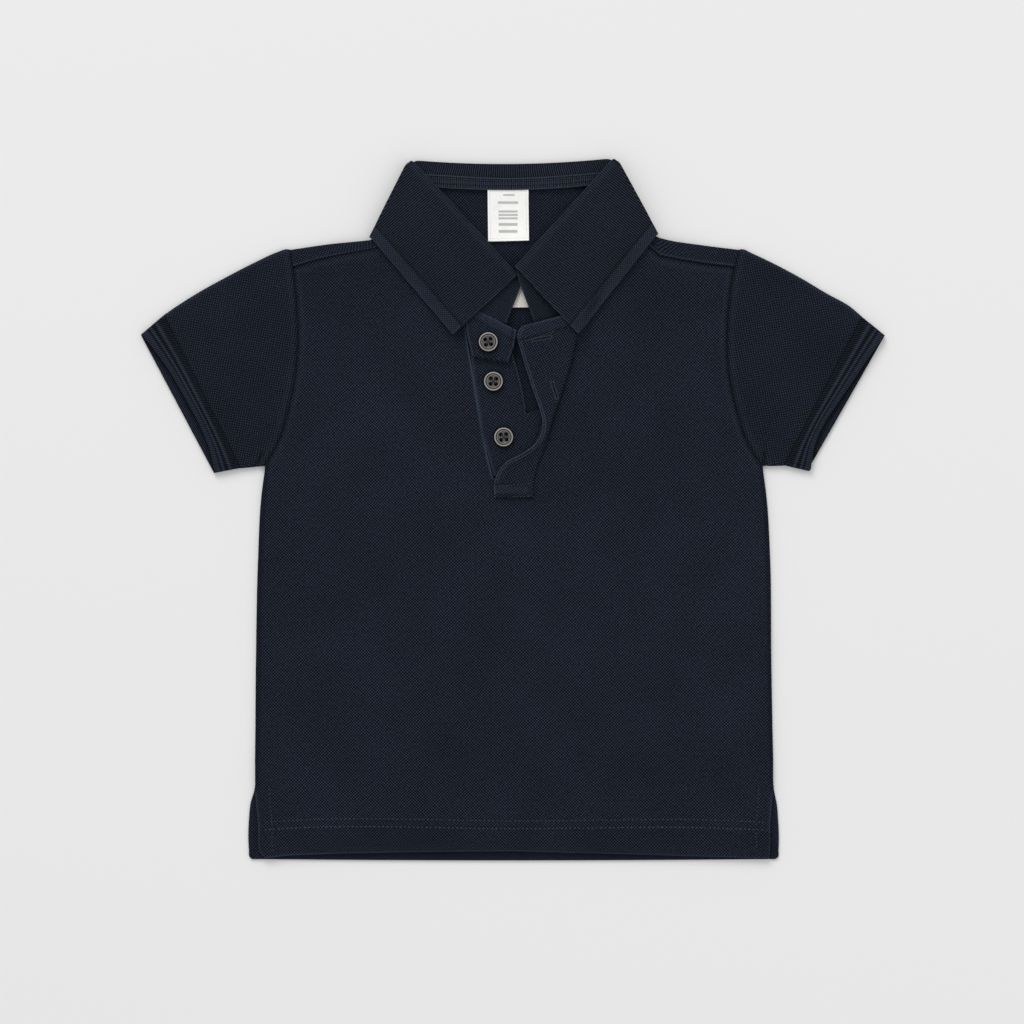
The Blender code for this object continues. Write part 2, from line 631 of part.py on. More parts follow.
def leaf_stations(leaf):
    """Stations from the front end of one leaf to its side crease, then round the crease."""
    fold = smooth_line([leaf.fold_front, leaf.fold_corner], LEAF_STATIONS)
    edge = smooth_line([leaf.edge_front, leaf.edge_corner], LEAF_STATIONS)
    seam = smooth_line(leaf.seam, LEAF_STATIONS)[::-1]
    crease = np.array(leaf.edge_corner) - np.array(leaf.fold_corner)
    out = np.array([crease[1], -crease[0]]) * -leaf.side
    out = out / np.linalg.norm(out)
    stations = []
    for k in range(LEAF_STATIONS):
        share = ease(k / (LEAF_STATIONS - 1) * 1.25)
        stand_z = leaf.fold_z + (SIDE_STAND_Z - leaf.fold_z) * share
        seam_z = leaf.seam_z + (SIDE_STAND_Z - leaf.seam_z) * share
        stations.append(collar_station(fold[k], seam[k], edge[k], out, 1.0, stand_z, seam_z, True))
    for k in range(1, WRAP_STATIONS + 1):
        turn = 1.0 - 2.0 * k / WRAP_STATIONS
        stations.append(
            collar_station(fold[-1], seam[-1], edge[-1], out, turn, SIDE_STAND_Z, SIDE_STAND_Z, True)
        )
    return stations


def make_collar():
    right = leaf_stations(LEAF_RIGHT)
    left = leaf_stations(LEAF_LEFT)
    middle = []
    for k in range(1, BACK_STATIONS):
        share = k / BACK_STATIONS
        fold = np.array(LEAF_RIGHT.fold_corner) * (1 - share) + np.array(LEAF_LEFT.fold_corner) * share
        fold[1] -= COLLAR_TOP_SAG * 4 * share * (1 - share)
        seam = np.array(LEAF_RIGHT.seam[0]) * (1 - share) + np.array(LEAF_LEFT.seam[0]) * share
        seam[1] -= NECK_DIP * 4 * share * (1 - share)
        edge = np.array(LEAF_RIGHT.edge_corner) * (1 - share) + np.array(LEAF_LEFT.edge_corner) * share
        out = np.array([0.0, 1.0])
        middle.append(collar_station(fold, seam, edge, out, -1.0, SIDE_STAND_Z, SIDE_STAND_Z, False))
    return sheet("collar", [right + middle + left[::-1]], RIB, NAVY_RIB)


# ---------------------------------------------------------------- placket


def band_height(x, y):
    """The buttonhole band lies one layer over the front and the button stand."""
    return front_height(x, y) + LAYER


def make_band():
    """Strip from the free edge to the rolled one, with its allowance curled under along the roll."""
    rows = []
    for row in BAND:
        free = np.array([row.free_x, row.free_y])
        roll = np.array([row.roll_x, row.roll_y])
        run = (roll - free) / np.linalg.norm(roll - free)
        bend = math.pi * row.curl
        radius = BAND_ROLL_LENGTH / bend if bend else 0.0
        reach = radius * math.sin(min(bend, math.pi / 2)) + PIQUE / 2 if bend else BAND_ROLL_LENGTH
        flat_end = roll - run * reach
        points = []
        for k in range(BAND_COLUMNS + 1):
            share = k / BAND_COLUMNS
            x, y = free + (flat_end - free) * share
            lift = row.free_z * (1 - share) + row.roll_z * share
            points.append((x, y, band_height(x, y) + lift + BAND_CROWN * math.sin(math.pi * share)))
        top = points[-1][2]
        for step in range(1, FOLD_SEGMENTS + 2):
            angle = bend * min(step, FOLD_SEGMENTS) / FOLD_SEGMENTS
            if bend:
                out = radius * math.sin(angle)
                drop = radius * (1 - math.cos(angle))
            else:
                out = BAND_ROLL_LENGTH * min(step, FOLD_SEGMENTS) / FOLD_SEGMENTS
                drop = 0.0
            if step > FOLD_SEGMENTS:
                out += row.tuck * math.cos(bend)
                drop += row.tuck * math.sin(bend)
            x, y = flat_end + run * out
            points.append((x, y, top - drop))
        rows.append(points)
    return sheet("placket_top", [rows], PIQUE, NAVY)


def make_button_stand():
    lines = []

    def add(row, z):
        seam = np.array([row.seam_x, row.seam_y])
        free = np.array([row.free_x, row.free_y])
        plan = [seam + (free - seam) * k / STAND_COLUMNS for k in range(STAND_COLUMNS + 1)]
        lines.append([(x, y, front_height(x, y) + z) for x, y in plan])

    def bend(row, low_z, up):
        """Half circle where the strip doubles back, along its length."""
        radius = LAYER / 2
        for step in range(1, FOLD_SEGMENTS):
            angle = math.pi * step / FOLD_SEGMENTS
            shift = radius * math.sin(angle) * (1 if up else -1)
            moved = row._replace(seam_y=row.seam_y + shift, free_y=row.free_y + shift)
            add(moved, low_z + radius * (1 - math.cos(angle)))

    for row in BUTTON_STAND:
        add(row, row.z)
    add(STAND_LOWER_END, 0.0)
    bend(STAND_LOWER_END, 0.0, True)
    add(STAND_LOWER_END, LAYER)
    add(STAND_FOLD_EDGE, LAYER)
    bend(STAND_FOLD_EDGE, LAYER, False)
    add(STAND_FOLD_EDGE, 2 * LAYER)
    add(STAND_TOP_MIDDLE, STAND_TOP_MIDDLE.z)
    add(STAND_TOP_END, STAND_TOP_END.z)
    return sheet("placket_button", [lines], PIQUE, NAVY)


# ---------------------------------------------------------------- tape and labels


def strip_between(upper, lower, columns, rows):
    top = smooth_line(upper, columns + 1)
    low = smooth_line(lower, columns + 1)
    return [[low[k] * (1 - r / rows) + top[k] * r / rows for k in range(columns + 1)] for r in range(rows + 1)]


def make_tape():
    height = BACK_STAND_Z + RIB / 2 + GAP + TAPE / 2
    plan = strip_between(TAPE_UPPER, TAPE_LOWER, TAPE_COLUMNS, 2)
    return sheet("neck_tape", [raised(plan, lambda x, y: height)], TAPE, NAVY_TAPE)


def make_label(name, corners, finish):
    top_right, top_left, low_left, low_right = corners
    plan = strip_between([top_right, top_left], [low_right, low_left], LABEL_COLUMNS, LABEL_COLUMNS)
    return sheet(name, [raised(plan, lambda x, y: back_height(x, y) + LAYER)], TAPE, finish)


# ---------------------------------------------------------------- buttons


ButtonRow = namedtuple("ButtonRow", "radius height")
BUTTON_PROFILE = [
    ButtonRow(0.0, 1.35),
    ButtonRow(3.1, 1.35),
    ButtonRow(3.55, 1.85),
    ButtonRow(4.3, 2.2),
    ButtonRow(4.9, 1.95),
    ButtonRow(5.15, 1.3),
    ButtonRow(4.6, 0.45),
    ButtonRow(3.6, 0.0),
    ButtonRow(0.0, 0.0),
]


def make_button(button):
    height = front_height(button.x, button.y) + button.lift + PIQUE / 2 + GAP
    mesh = bpy.data.meshes.new(button.name)
    profile = bmesh.new()
    verts = [profile.verts.new((row.radius * MM, 0.0, row.height * MM)) for row in BUTTON_PROFILE]
    for first, second in zip(verts, verts[1:]):
        profile.edges.new((first, second))
    profile.to_mesh(mesh)
    profile.free()
    part = add_part(button.name, mesh, BUTTON_FINISH)
    part.location = (button.x * MM, button.y * MM, height * MM)
    turned = part.modifiers.new("turned", "SCREW")
    turned.angle = 2 * math.pi
    turned.steps = BUTTON_SIDES
    turned.render_steps = BUTTON_SIDES
    turned.use_merge_vertices = True
    turned.merge_threshold = 0.00001
    holes = part.modifiers.new("holes", "BOOLEAN")
    holes.operation = "DIFFERENCE"
    holes.object = hole_cutter(button, height)
    return part


def hole_cutter(button, height):
    """Four round pegs, one for each thread hole."""
    pegs = bmesh.new()
    for side_x in (-1, 1):
        for side_y in (-1, 1):
            made = bmesh.ops.create_cone(
                pegs,
                cap_ends=True,
                segments=8,
                radius1=HOLE_RADIUS * MM,
                radius2=HOLE_RADIUS * MM,
                depth=2 * BUTTON_HEIGHT * MM,
            )
            shift = (side_x * HOLE_OFFSET * MM, side_y * HOLE_OFFSET * MM, BUTTON_HEIGHT / 2 * MM)
            bmesh.ops.translate(pegs, verts=made["verts"], vec=shift)
    mesh = bpy.data.meshes.new(button.name + "_holes")
    pegs.to_mesh(mesh)
    pegs.free()
    cutter = bpy.data.objects.new(button.name + "_holes", mesh)
    cutters.objects.link(cutter)
    cutter.location = (button.x * MM, button.y * MM, height * MM)
    cutter.hide_render = True
    cutter.display_type = "WIRE"
    return cutter


# ---------------------------------------------------------------- start


for leftover in list(bpy.data.objects):
    bpy.data.objects.remove(leftover, do_unlink=True)

collection = bpy.data.collections.new("polo_shirt")
bpy.context.scene.collection.children.link(collection)
cutters = bpy.data.collections.new("cutters")
bpy.context.scene.collection.children.link(cutters)

NAVY = material("navy_pique", (0.0137, 0.0182, 0.0262), 0.9)
NAVY_SLEEVE = material("navy_pique_sleeve", (0.0130, 0.0170, 0.0250), 0.9)
NAVY_RIB = material("navy_rib", (0.0137, 0.0180, 0.0260), 0.9)
NAVY_TAPE = material("navy_tape", (0.0160, 0.0190, 0.0270), 0.85)
WHITE_LABEL = material("white_label", (0.90, 0.88, 0.85), 0.7)
CREAM_LABEL = material("cream_label", (0.70, 0.66, 0.58), 0.7)
BUTTON_FINISH = material("grey_button", (0.10, 0.10, 0.09), 0.35)

make_back()
make_front()
make_sleeve("sleeve_r", CUFF_RIGHT)
make_sleeve("sleeve_l", CUFF_LEFT)
make_cuff("cuff_r", CUFF_RIGHT)
make_cuff("cuff_l", CUFF_LEFT)
make_collar()
make_tape()
make_label("neck_label", NECK_LABEL, WHITE_LABEL)
make_label("care_label", CARE_LABEL, CREAM_LABEL)
make_button_stand()
make_band()
for button in BUTTONS:
    make_button(button)
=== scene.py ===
"""Child's polo shirt in washed navy pique, laid flat and face up, dressed on its solid frame.

Sizes are in millimetres, +Y runs from the hem to the collar and -X is the wearer's right side.
"""

import math
from collections import namedtuple

import bpy
import numpy as np
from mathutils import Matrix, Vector


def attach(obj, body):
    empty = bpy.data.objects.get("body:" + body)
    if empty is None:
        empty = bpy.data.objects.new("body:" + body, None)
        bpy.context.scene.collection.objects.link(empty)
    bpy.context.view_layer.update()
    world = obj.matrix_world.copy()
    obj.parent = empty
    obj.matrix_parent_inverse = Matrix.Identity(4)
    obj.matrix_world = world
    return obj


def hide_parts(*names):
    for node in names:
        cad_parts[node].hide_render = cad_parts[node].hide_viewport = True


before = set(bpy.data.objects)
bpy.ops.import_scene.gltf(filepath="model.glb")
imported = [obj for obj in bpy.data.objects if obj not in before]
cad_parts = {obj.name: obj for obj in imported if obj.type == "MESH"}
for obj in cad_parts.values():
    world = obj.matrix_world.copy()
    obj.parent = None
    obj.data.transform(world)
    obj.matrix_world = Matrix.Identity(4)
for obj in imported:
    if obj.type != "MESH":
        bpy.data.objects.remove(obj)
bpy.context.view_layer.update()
bpy.ops.object.select_all(action="DESELECT")
MM = 0.001

# ---------------------------------------------------------------------------------------------
# Back panel
# One piece of cotton pique, 18 mm longer than the underarm-to-hem of a plain cut so that it shows
# below the front at the vents. It wraps over each shoulder to a seam on the front, and its hem
# and vent edges are turned under and stitched.

PIQUE = 1.0             # thickness of the body cloth
RIB = 1.4               # thickness of the flat-knit collar
GAP = 0.3               # between layers that touch
LAYER = PIQUE + GAP
COLLAR_FOLD = 0.875     # radius of the collar's roll
STAND_RING = 1.55       # half the height between the stand's two halves
FALL_LIFT = RIB + GAP   # the back lies on the collar's fall by this much
FALL_COVER_BELOW = 9.0  # and it does so this far below the fall's edge, and this far beside it
FALL_COVER_BESIDE = 4.0
FALL_LIFT_RUN = 12.0    # length over which it comes down again, at the neck and at the sides
FALL_LIFT_RUN_SIDE = 32.0
NECK_HALF_WIDTH = 25.0
NECK_LIFT_RUN = 34.0    # the front comes down from the neck over this length
WELD = 0.00001          # m; points of two grids this close are one point

SideRow = namedtuple("SideRow", "y right left")
Point = namedtuple("Point", "x y")

BACK_SIDE = [
    SideRow(-185.1, -137.6, 138.9),
    SideRow(-184.2, -138.9, 140.2),
    SideRow(-180.0, -139.4, 140.6),
    SideRow(-162.7, -139.3, 140.3),
    SideRow(-156.0, -138.6, 139.7),
    SideRow(-148.4, -136.5, 138.2),
    SideRow(-133.0, -136.2, 137.8),
    SideRow(-80.0, -135.7, 136.8),
    SideRow(-27.0, -134.6, 136.2),
    SideRow(8.0, -132.7, 134.1),
    SideRow(22.8, -130.7, 132.1),
]
ARMHOLE = [
    SideRow(22.8, -130.7, 132.1),
    SideRow(26.6, -128.3, 128.9),
    SideRow(36.6, -123.2, 123.2),
    SideRow(50.9, -118.8, 118.5),
    SideRow(71.5, -114.6, 114.2),
    SideRow(88.5, -113.3, 113.2),
    SideRow(109.7, -114.1, 114.4),
    SideRow(129.8, -116.2, 117.5),
    SideRow(137.0, -117.1, 119.3),
]
HEM_BACK = [Point(-137.6, -185.1), Point(-70.0, -185.6), Point(0.0, -185.8), Point(70.0, -185.6),
            Point(138.9, -185.1)]
SHOULDER = {
    -1: [Point(-96.5, 139.9), Point(-79.0, 141.5), Point(-74.6, 142.0), Point(-72.2, 144.6),
         Point(-66.4, 158.0), Point(-60.1, 171.6)],
    1: [Point(99.6, 139.4), Point(81.0, 142.2), Point(76.2, 143.5), Point(73.6, 146.0),
        Point(67.4, 159.0), Point(61.0, 172.2)],
}
SHOULDER_SEAM = {
    -1: [Point(-101.8, 131.6), Point(-86.9, 134.7), Point(-72.6, 137.3), Point(-62.0, 149.0),
         Point(-52.2, 162.6)],
    1: [Point(99.6, 129.4), Point(89.0, 131.0), Point(77.5, 133.2), Point(64.0, 146.0),
        Point(52.8, 163.0)],
}
NECK_BACK = [Point(-30.0, 171.5), Point(0.0, 171.3), Point(30.0, 171.6)]

# Collar seam and outline, which lift the cloth near the neck
COLLAR_SEAM = {
    -1: [Point(-58.2, 173.3), Point(-51.3, 162.6), Point(-43.7, 140.6), Point(-34.2, 121.8),
         Point(-23.4, 109.4), Point(-12.4, 102.4), Point(-3.4, 99.6)],
    1: [Point(58.8, 173.9), Point(51.7, 163.2), Point(44.6, 141.5), Point(37.2, 121.8),
        Point(29.0, 107.4), Point(20.4, 103.2), Point(10.9, 100.2)],
}
FALL_OUTLINE = [Point(-52.8, 183.7), Point(-73.6, 142.9), Point(75.0, 144.5), Point(52.8, 184.6)]

ROWS_LOW = 110          # below the underarm
ROWS_HIGH = 64          # along the armhole
SHOULDER_COLUMNS = 28
INSIDE_COLLAR_COLUMNS = 18
NECK_COLUMNS = 64
HEM_PULL = 2.3          # rows lie closer towards the hem, and closer again towards the shoulder
SHOULDER_PULL = -1.5
SEAM_START = 11 / 12    # share of the armhole at which the shoulder seam meets it
ARMHOLE_PULL = 1.6      # columns lie closer towards the armhole
FOLD_STEPS = 10
FLAP_ROWS = 8


def graded(count, pull):
    """Shares from 0 to 1, closer together at the start, or at the end for a negative pull."""
    return np.expm1(pull * np.linspace(0.0, 1.0, count + 1)) / math.expm1(pull)


def both_ends(count):
    """Shares from 0 to 1, closer together at both ends."""
    t = np.linspace(0.0, 1.0, count + 1)
    return t - 0.75 * np.sin(2 * math.pi * t) / (2 * math.pi)


def smooth_line(points, count, shares=None):
    """Points on a smooth curve through the given ones, evenly spaced or at shares of its length."""
    knots = np.array([tuple(p) for p in points], dtype=float)
    step = np.linalg.norm(np.diff(knots, axis=0), axis=1)
    t = np.concatenate([[0.0], np.cumsum(step)])
    run = np.diff(knots, axis=0) / step[:, None]
    slope = np.concatenate([run[:1], run[-1:]]) if len(knots) == 2 else np.zeros_like(knots)
    if len(knots) > 2:
        share = (step[1:] / (step[1:] + step[:-1]))[:, None]
        slope[1:-1] = run[:-1] * share + run[1:] * (1 - share)
        slope[0] = run[0]
        slope[-1] = run[-1]
    at = t[-1] * (np.linspace(0.0, 1.0, count) if shares is None else shares)
    k = np.clip(np.searchsorted(t, at, side="right") - 1, 0, len(knots) - 2)
    span = (t[k + 1] - t[k])[:, None]
    w = (at - t[k])[:, None] / span
    return (
        knots[k] * (1 + 2 * w) * (1 - w) ** 2
        + slope[k] * span * w * (1 - w) ** 2
        + knots[k + 1] * w * w * (3 - 2 * w)
        + slope[k + 1] * span * w * w * (w - 1)
    )


def side_points(rows, side):
    return [Point(row.right if side < 0 else row.left, row.y) for row in rows]


def joined(*lines):
    """One line out of several that share their end points."""
    return np.concatenate([lines[0]] + [line[1:] for line in lines[1:]])


def gone(points, axis=0):
    """Length up to each point of a line, or of each line in a grid."""
    step = np.linalg.norm(np.diff(points, axis=axis), axis=-1)
    return np.concatenate([np.zeros_like(step.take([0], axis)), np.cumsum(step, axis)], axis)


def run_shares(line):
    """Share of the line's length at each of its points."""
    return gone(line) / gone(line)[-1]


def level_shares(line):
    """Share of the line's reach sideways at each of its points."""
    return (line[:, 0] - line[0, 0]) / (line[-1, 0] - line[0, 0])


def patch(bottom, top, start, end):
    """Flat grid of points between four border lines, row by row from bottom to top."""
    v = np.linspace(0.0, 1.0, len(start))[:, None, None]
    w = v ** 3
    u = (1 - w) * run_shares(bottom)[None, :, None] + w * run_shares(top)[None, :, None]
    across = (1 - w) * bottom[None] + w * top[None]
    along = (1 - u) * start[:, None] + u * end[:, None]
    corners = (1 - u) * ((1 - w) * bottom[0] + w * top[0]) + u * ((1 - w) * bottom[-1] + w * top[-1])
    return across + along - corners


def unit(v):
    return v / np.linalg.norm(v, axis=-1)[..., None]


def ease(w):
    w = np.clip(w, 0.0, 1.0)
    return w * w * (3 - 2 * w)


def hump(distance, width=1.6):
    """1 at no distance, fading to 0 over about twice the width to both sides."""
    return np.exp(-((distance / width) ** 2))


def distance_to(plan, line):
    """Shortest distance from each point of a plan to a line of straight segments."""
    line = np.asarray(line, dtype=float)
    start, run = line[:-1], line[1:] - line[:-1]
    best = np.full(plan.shape[:-1], np.inf)
    for a, d in zip(start, run):
        to_point = plan - a
        w = np.clip((to_point @ d) / max(d @ d, 1e-9), 0.0, 1.0)
        best = np.minimum(best, np.linalg.norm(to_point - w[..., None] * d, axis=-1))
    return best


NECKLINE = joined(smooth_line(COLLAR_SEAM[-1], 24), smooth_line(COLLAR_SEAM[1], 24)[::-1])

# Soft creases that the body has kept: each a line, its half width and its height
Crease = namedtuple("Crease", "x0 y0 x1 y1 width height")
CREASES = [
    Crease(-124.0, 34.0, -62.0, 74.0, 9.0, 0.42),
    Crease(-118.0, 52.0, -70.0, 98.0, 8.0, 0.30),
    Crease(-128.0, 14.0, -78.0, 6.0, 11.0, 0.34),
    Crease(125.0, 33.0, 66.0, 70.0, 10.0, 0.42),
    Crease(120.0, 56.0, 76.0, 92.0, 8.0, 0.28),
    Crease(129.0, 12.0, 80.0, -2.0, 12.0, 0.34),
    Crease(-12.0, -6.0, -48.0, -92.0, 14.0, 0.36),
    Crease(16.0, -4.0, 40.0, -84.0, 13.0, 0.32),
    Crease(-96.0, -52.0, -108.0, -128.0, 15.0, 0.34),
    Crease(98.0, -44.0, 112.0, -122.0, 14.0, 0.34),
    Crease(-64.0, -118.0, 8.0, -134.0, 12.0, 0.26),
    Crease(34.0, -136.0, 88.0, -120.0, 12.0, 0.26),
]


def creases(plan):
    """Height of the soft creases, each a low ridge with a shallow trough beside it."""
    height = np.zeros(plan.shape[:-1])
    for crease in CREASES:
        start = np.array([crease.x0, crease.y0])
        run = np.array([crease.x1, crease.y1]) - start
        length = np.linalg.norm(run)
        run = run / length
        along = (plan - start) @ run / length
        bow = 5.0 * np.sin(np.pi * along)
        off = (plan - start) @ np.array([-run[1], run[0]]) - bow
        fade = ease(along / 0.35) * ease((1.0 - along) / 0.45)
        width = crease.width * (0.7 + 0.5 * np.clip(along, 0.0, 1.0))
        ridge = hump(off, width)
        trough = hump(off - 1.7 * width, 1.2 * width)
        height += crease.height * fade * (ridge - 0.55 * trough)
    return height


def fall_cover(plan):
    """1 where the back lies on the collar's fall, down to 0 a little way off."""
    x, y = plan[..., 0], plan[..., 1]
    top_right, low_right, low_left, top_left = FALL_OUTLINE
    share = (y - low_right.y) / (top_right.y - low_right.y)
    edge_right = low_right.x + share * (top_right.x - low_right.x)
    edge_left = low_left.x + share * (top_left.x - low_left.x)
    below, beside = low_right.y - FALL_COVER_BELOW, FALL_COVER_BESIDE
    inside = (y >= below) & (x >= edge_right - beside) & (x <= edge_left + beside)
    off = np.maximum.reduce([
        low_right.y - y - FALL_COVER_BELOW, low_right.x - beside - x, x - low_left.x - beside, 0.0 * x,
    ])
    off_neck = ease((np.abs(x) - NECK_HALF_WIDTH) / NECK_HALF_WIDTH)
    run = FALL_LIFT_RUN + (FALL_LIFT_RUN_SIDE - FALL_LIFT_RUN) * off_neck
    return np.where(inside, 1.0, ease(1.0 - off / run))


def back_height(plan):
    return PIQUE / 2 + FALL_LIFT * fall_cover(plan)


def front_height(plan):
    """Middle of the front's wall: one layer up, with slack and creases, lifted at the neck."""
    x, y = plan[..., 0], plan[..., 1]
    side_lift = np.where(y > 120.0, 1.7, 1.7 + (120.0 - y) / 20.0 * np.where(x > 0, 0.3, -0.6))
    lift = np.maximum(side_lift, 1.0) * ease(1.0 - distance_to(plan, NECKLINE) / NECK_LIFT_RUN)
    chest = hump(y - 20.0, 70.0) * hump(x, 95.0)
    slack = 0.28 + 0.25 * np.sin(x / 31.0 + y / 57.0) * np.cos(y / 43.0 - x / 90.0)
    free = ease((132.0 - np.abs(x)) / 25.0) * ease((y + 186.0) / 30.0)
    soft = np.maximum(slack, 0.12) + creases(plan)
    return back_height(plan) + LAYER + lift + 0.5 * chest + soft * free


def lift(plan, heights):
    return np.concatenate([plan, heights[..., None]], axis=-1)


Lay = namedtuple("Lay", "points grain worn coarse", defaults=(None,))    # one grid of a sheet


def fill(tree, node, inputs):
    """Links or sets inputs of a shader node; a colour of three parts is made opaque."""
    for key, value in inputs.items():
        if isinstance(value, bpy.types.NodeSocket):
            tree.links.new(value, node.inputs[key])
        else:
            colour = isinstance(value, tuple) and len(value) == 3
            node.inputs[key].default_value = (*value, 1.0) if colour else value


def add_node(tree, kind, inputs=None, **settings):
    node = tree.nodes.new("ShaderNode" + kind)
    for name, value in settings.items():
        setattr(node, name, value)
    fill(tree, node, inputs or {})
    return node


def new_finish(name, inputs):
    """A material whose Principled shader has the given inputs."""
    finish = bpy.data.materials.new(name)
    finish.use_nodes = True
    fill(finish.node_tree, finish.node_tree.nodes["Principled BSDF"], inputs)
    return finish


def surface(tree, gloss, rough_range, height, strength, depth):
    """Gives the Principled shader a roughness between two values and a bump of a depth in mm."""
    rough = add_node(tree, "MapRange", {"To Min": rough_range[0], "To Max": rough_range[1], "Value": gloss})
    bump = add_node(tree, "Bump", {"Strength": strength, "Distance": depth * MM, "Height": height})
    outputs = {"Roughness": rough.outputs["Result"], "Normal": bump.outputs["Normal"]}
    fill(tree, tree.nodes["Principled BSDF"], outputs)


def mark_points(piece, name, values):
    """Keeps a value for each point of a piece, which its material reads."""
    marks = piece.data.attributes.new(name, "FLOAT", "POINT")
    marks.data.foreach_set("value", np.asarray(values, dtype=np.float32))

def add_mesh(name, points, faces, finish):
    mesh = bpy.data.meshes.new(name)
    mesh.from_pydata([tuple(p * MM) for p in points], [], faces)
    mesh.materials.append(finish)
    piece = bpy.data.objects.new(name, mesh)
    bpy.context.collection.objects.link(piece)
    return piece


def alone(piece):
    """Makes one piece the only one selected and active."""
    bpy.ops.object.select_all(action="DESELECT")
    piece.select_set(True)
    bpy.context.view_layer.objects.active = piece


def face_outward(weld=False):
    """Turns the active piece's faces outward, once the borders that its grids share are welded."""
    bpy.ops.object.mode_set(mode="EDIT")
    bpy.ops.mesh.select_all(action="SELECT")
    if weld:
        bpy.ops.mesh.remove_doubles(threshold=WELD)
    bpy.ops.mesh.normals_make_consistent(inside=False)
    bpy.ops.object.mode_set(mode="OBJECT")


def round_edges(piece, radius, degrees):
    """Bevels the edges of the active piece that are sharper than an angle."""
    soft = piece.modifiers.new("edge", "BEVEL")
    soft.width = radius * MM
    soft.segments = 2
    soft.limit_method = "ANGLE"
    soft.angle_limit = math.radians(degrees)
    bpy.ops.object.modifier_apply(modifier=soft.name)


def lay_sheet(name, lays, wall, finish, round_edge=0.3):
    """A wall of cloth on one or more grids that share borders, with rounded raw edges."""
    faces = []
    base = 0
    for lay in lays:
        rows, columns = lay.points.shape[:2]
        index = base + np.arange(rows * columns).reshape(rows, columns)
        quads = np.stack([index[:-1, :-1], index[:-1, 1:], index[1:, 1:], index[1:, :-1]], axis=-1)
        faces.append(quads.reshape(-1, 4))
        base += rows * columns
    faces = np.concatenate(faces)

    def gathered(field, *shape):
        return np.concatenate([getattr(lay, field).reshape(-1, *shape) for lay in lays])

    piece = add_mesh(name, gathered("points", 3), faces.tolist(), finish)
    chart = piece.data.uv_layers.new(name="grain")
    grain = gathered("grain", 2)[faces.reshape(-1)] * MM
    chart.data.foreach_set("uv", grain.astype(np.float32).reshape(-1))
    mark_points(piece, "worn", gathered("worn"))
    if lays[0].coarse is not None:
        mark_points(piece, "coarse", gathered("coarse"))
    alone(piece)
    face_outward(weld=True)
    thick = piece.modifiers.new("wall", "SOLIDIFY")
    thick.thickness = wall * MM
    thick.offset = 0.0
    thick.use_even_offset = True
    bpy.ops.object.modifier_apply(modifier=thick.name)
    round_edges(piece, round_edge, 50.0)
    bpy.ops.object.shade_smooth()
    return piece


def up_shoulder(start, rows):
    """From the armhole along the shoulder, then evenly up inside the collar."""
    return joined(
        smooth_line([start] + rows[:3], SHOULDER_COLUMNS + 1, graded(SHOULDER_COLUMNS, ARMHOLE_PULL)),
        smooth_line(rows[2:], INSIDE_COLLAR_COLUMNS + 1),
    )


def seam_line(side):
    """Forward shoulder seam from the armhole to the neck."""
    start = smooth_line(side_points(ARMHOLE, side), 1, np.array([SEAM_START]))[0]
    return up_shoulder(start, SHOULDER_SEAM[side])


def shoulder_fold(side):
    """Fold line of the shoulder from the armhole to the neck."""
    return up_shoulder(side_points(ARMHOLE, side)[-1], SHOULDER[side])


def fold_radius(plan):
    return (front_height(plan) - back_height(plan)) / 2


def inset(line, side):
    """Where the round of a fold starts: its radius and half a wall inside the outline."""
    run = unit(np.gradient(line, axis=0))
    normal = np.stack([run[:, 1], -run[:, 0]], axis=1) * -side
    return line + normal * (fold_radius(line) + PIQUE / 2)[:, None]


def shoulder_flap(start, fold, seam):
    """Half circle round the shoulder fold, then the strip down to the seam on the front."""
    radius = fold_radius(fold)
    out = unit(fold - start)
    low = back_height(start)
    rows, grain_rows = [], []
    for angle in np.linspace(0.0, math.pi, FOLD_STEPS + 1):
        plan = start + out * (radius * math.sin(angle))[:, None]
        rows.append(lift(plan, low + radius * (1 - math.cos(angle))))
        grain_rows.append(start + out * (radius * angle)[:, None])
    high = low + 2 * radius
    for share in np.linspace(0.0, 1.0, FLAP_ROWS + 1)[1:]:
        plan = start * (1 - share) + (seam + np.array([0.0, GAP])) * share
        dip = 0.35 * ease((share - 0.8) / 0.2)
        rows.append(lift(plan, high * (1 - share) + (front_height(plan) - dip) * share))
        grain_rows.append(start + out * (radius * math.pi)[:, None] - (plan - start))
    points = np.stack(rows)
    grain = np.stack(grain_rows)
    worn = np.zeros(points.shape[:2])
    worn[-1] = -0.9
    worn[-2] = 0.25
    worn[FOLD_STEPS // 2] = 0.2
    return Lay(points, grain, worn)


def body_edge(side_rows, side, rows_high, reach=1.0):
    """Edge of a panel from the hem up the armhole, as far as the given share of it."""
    return joined(
        smooth_line(side_points(side_rows, side), ROWS_LOW + 1, graded(ROWS_LOW, HEM_PULL)),
        smooth_line(side_points(ARMHOLE, side), rows_high + 1, reach * graded(rows_high, SHOULDER_PULL)),
    )


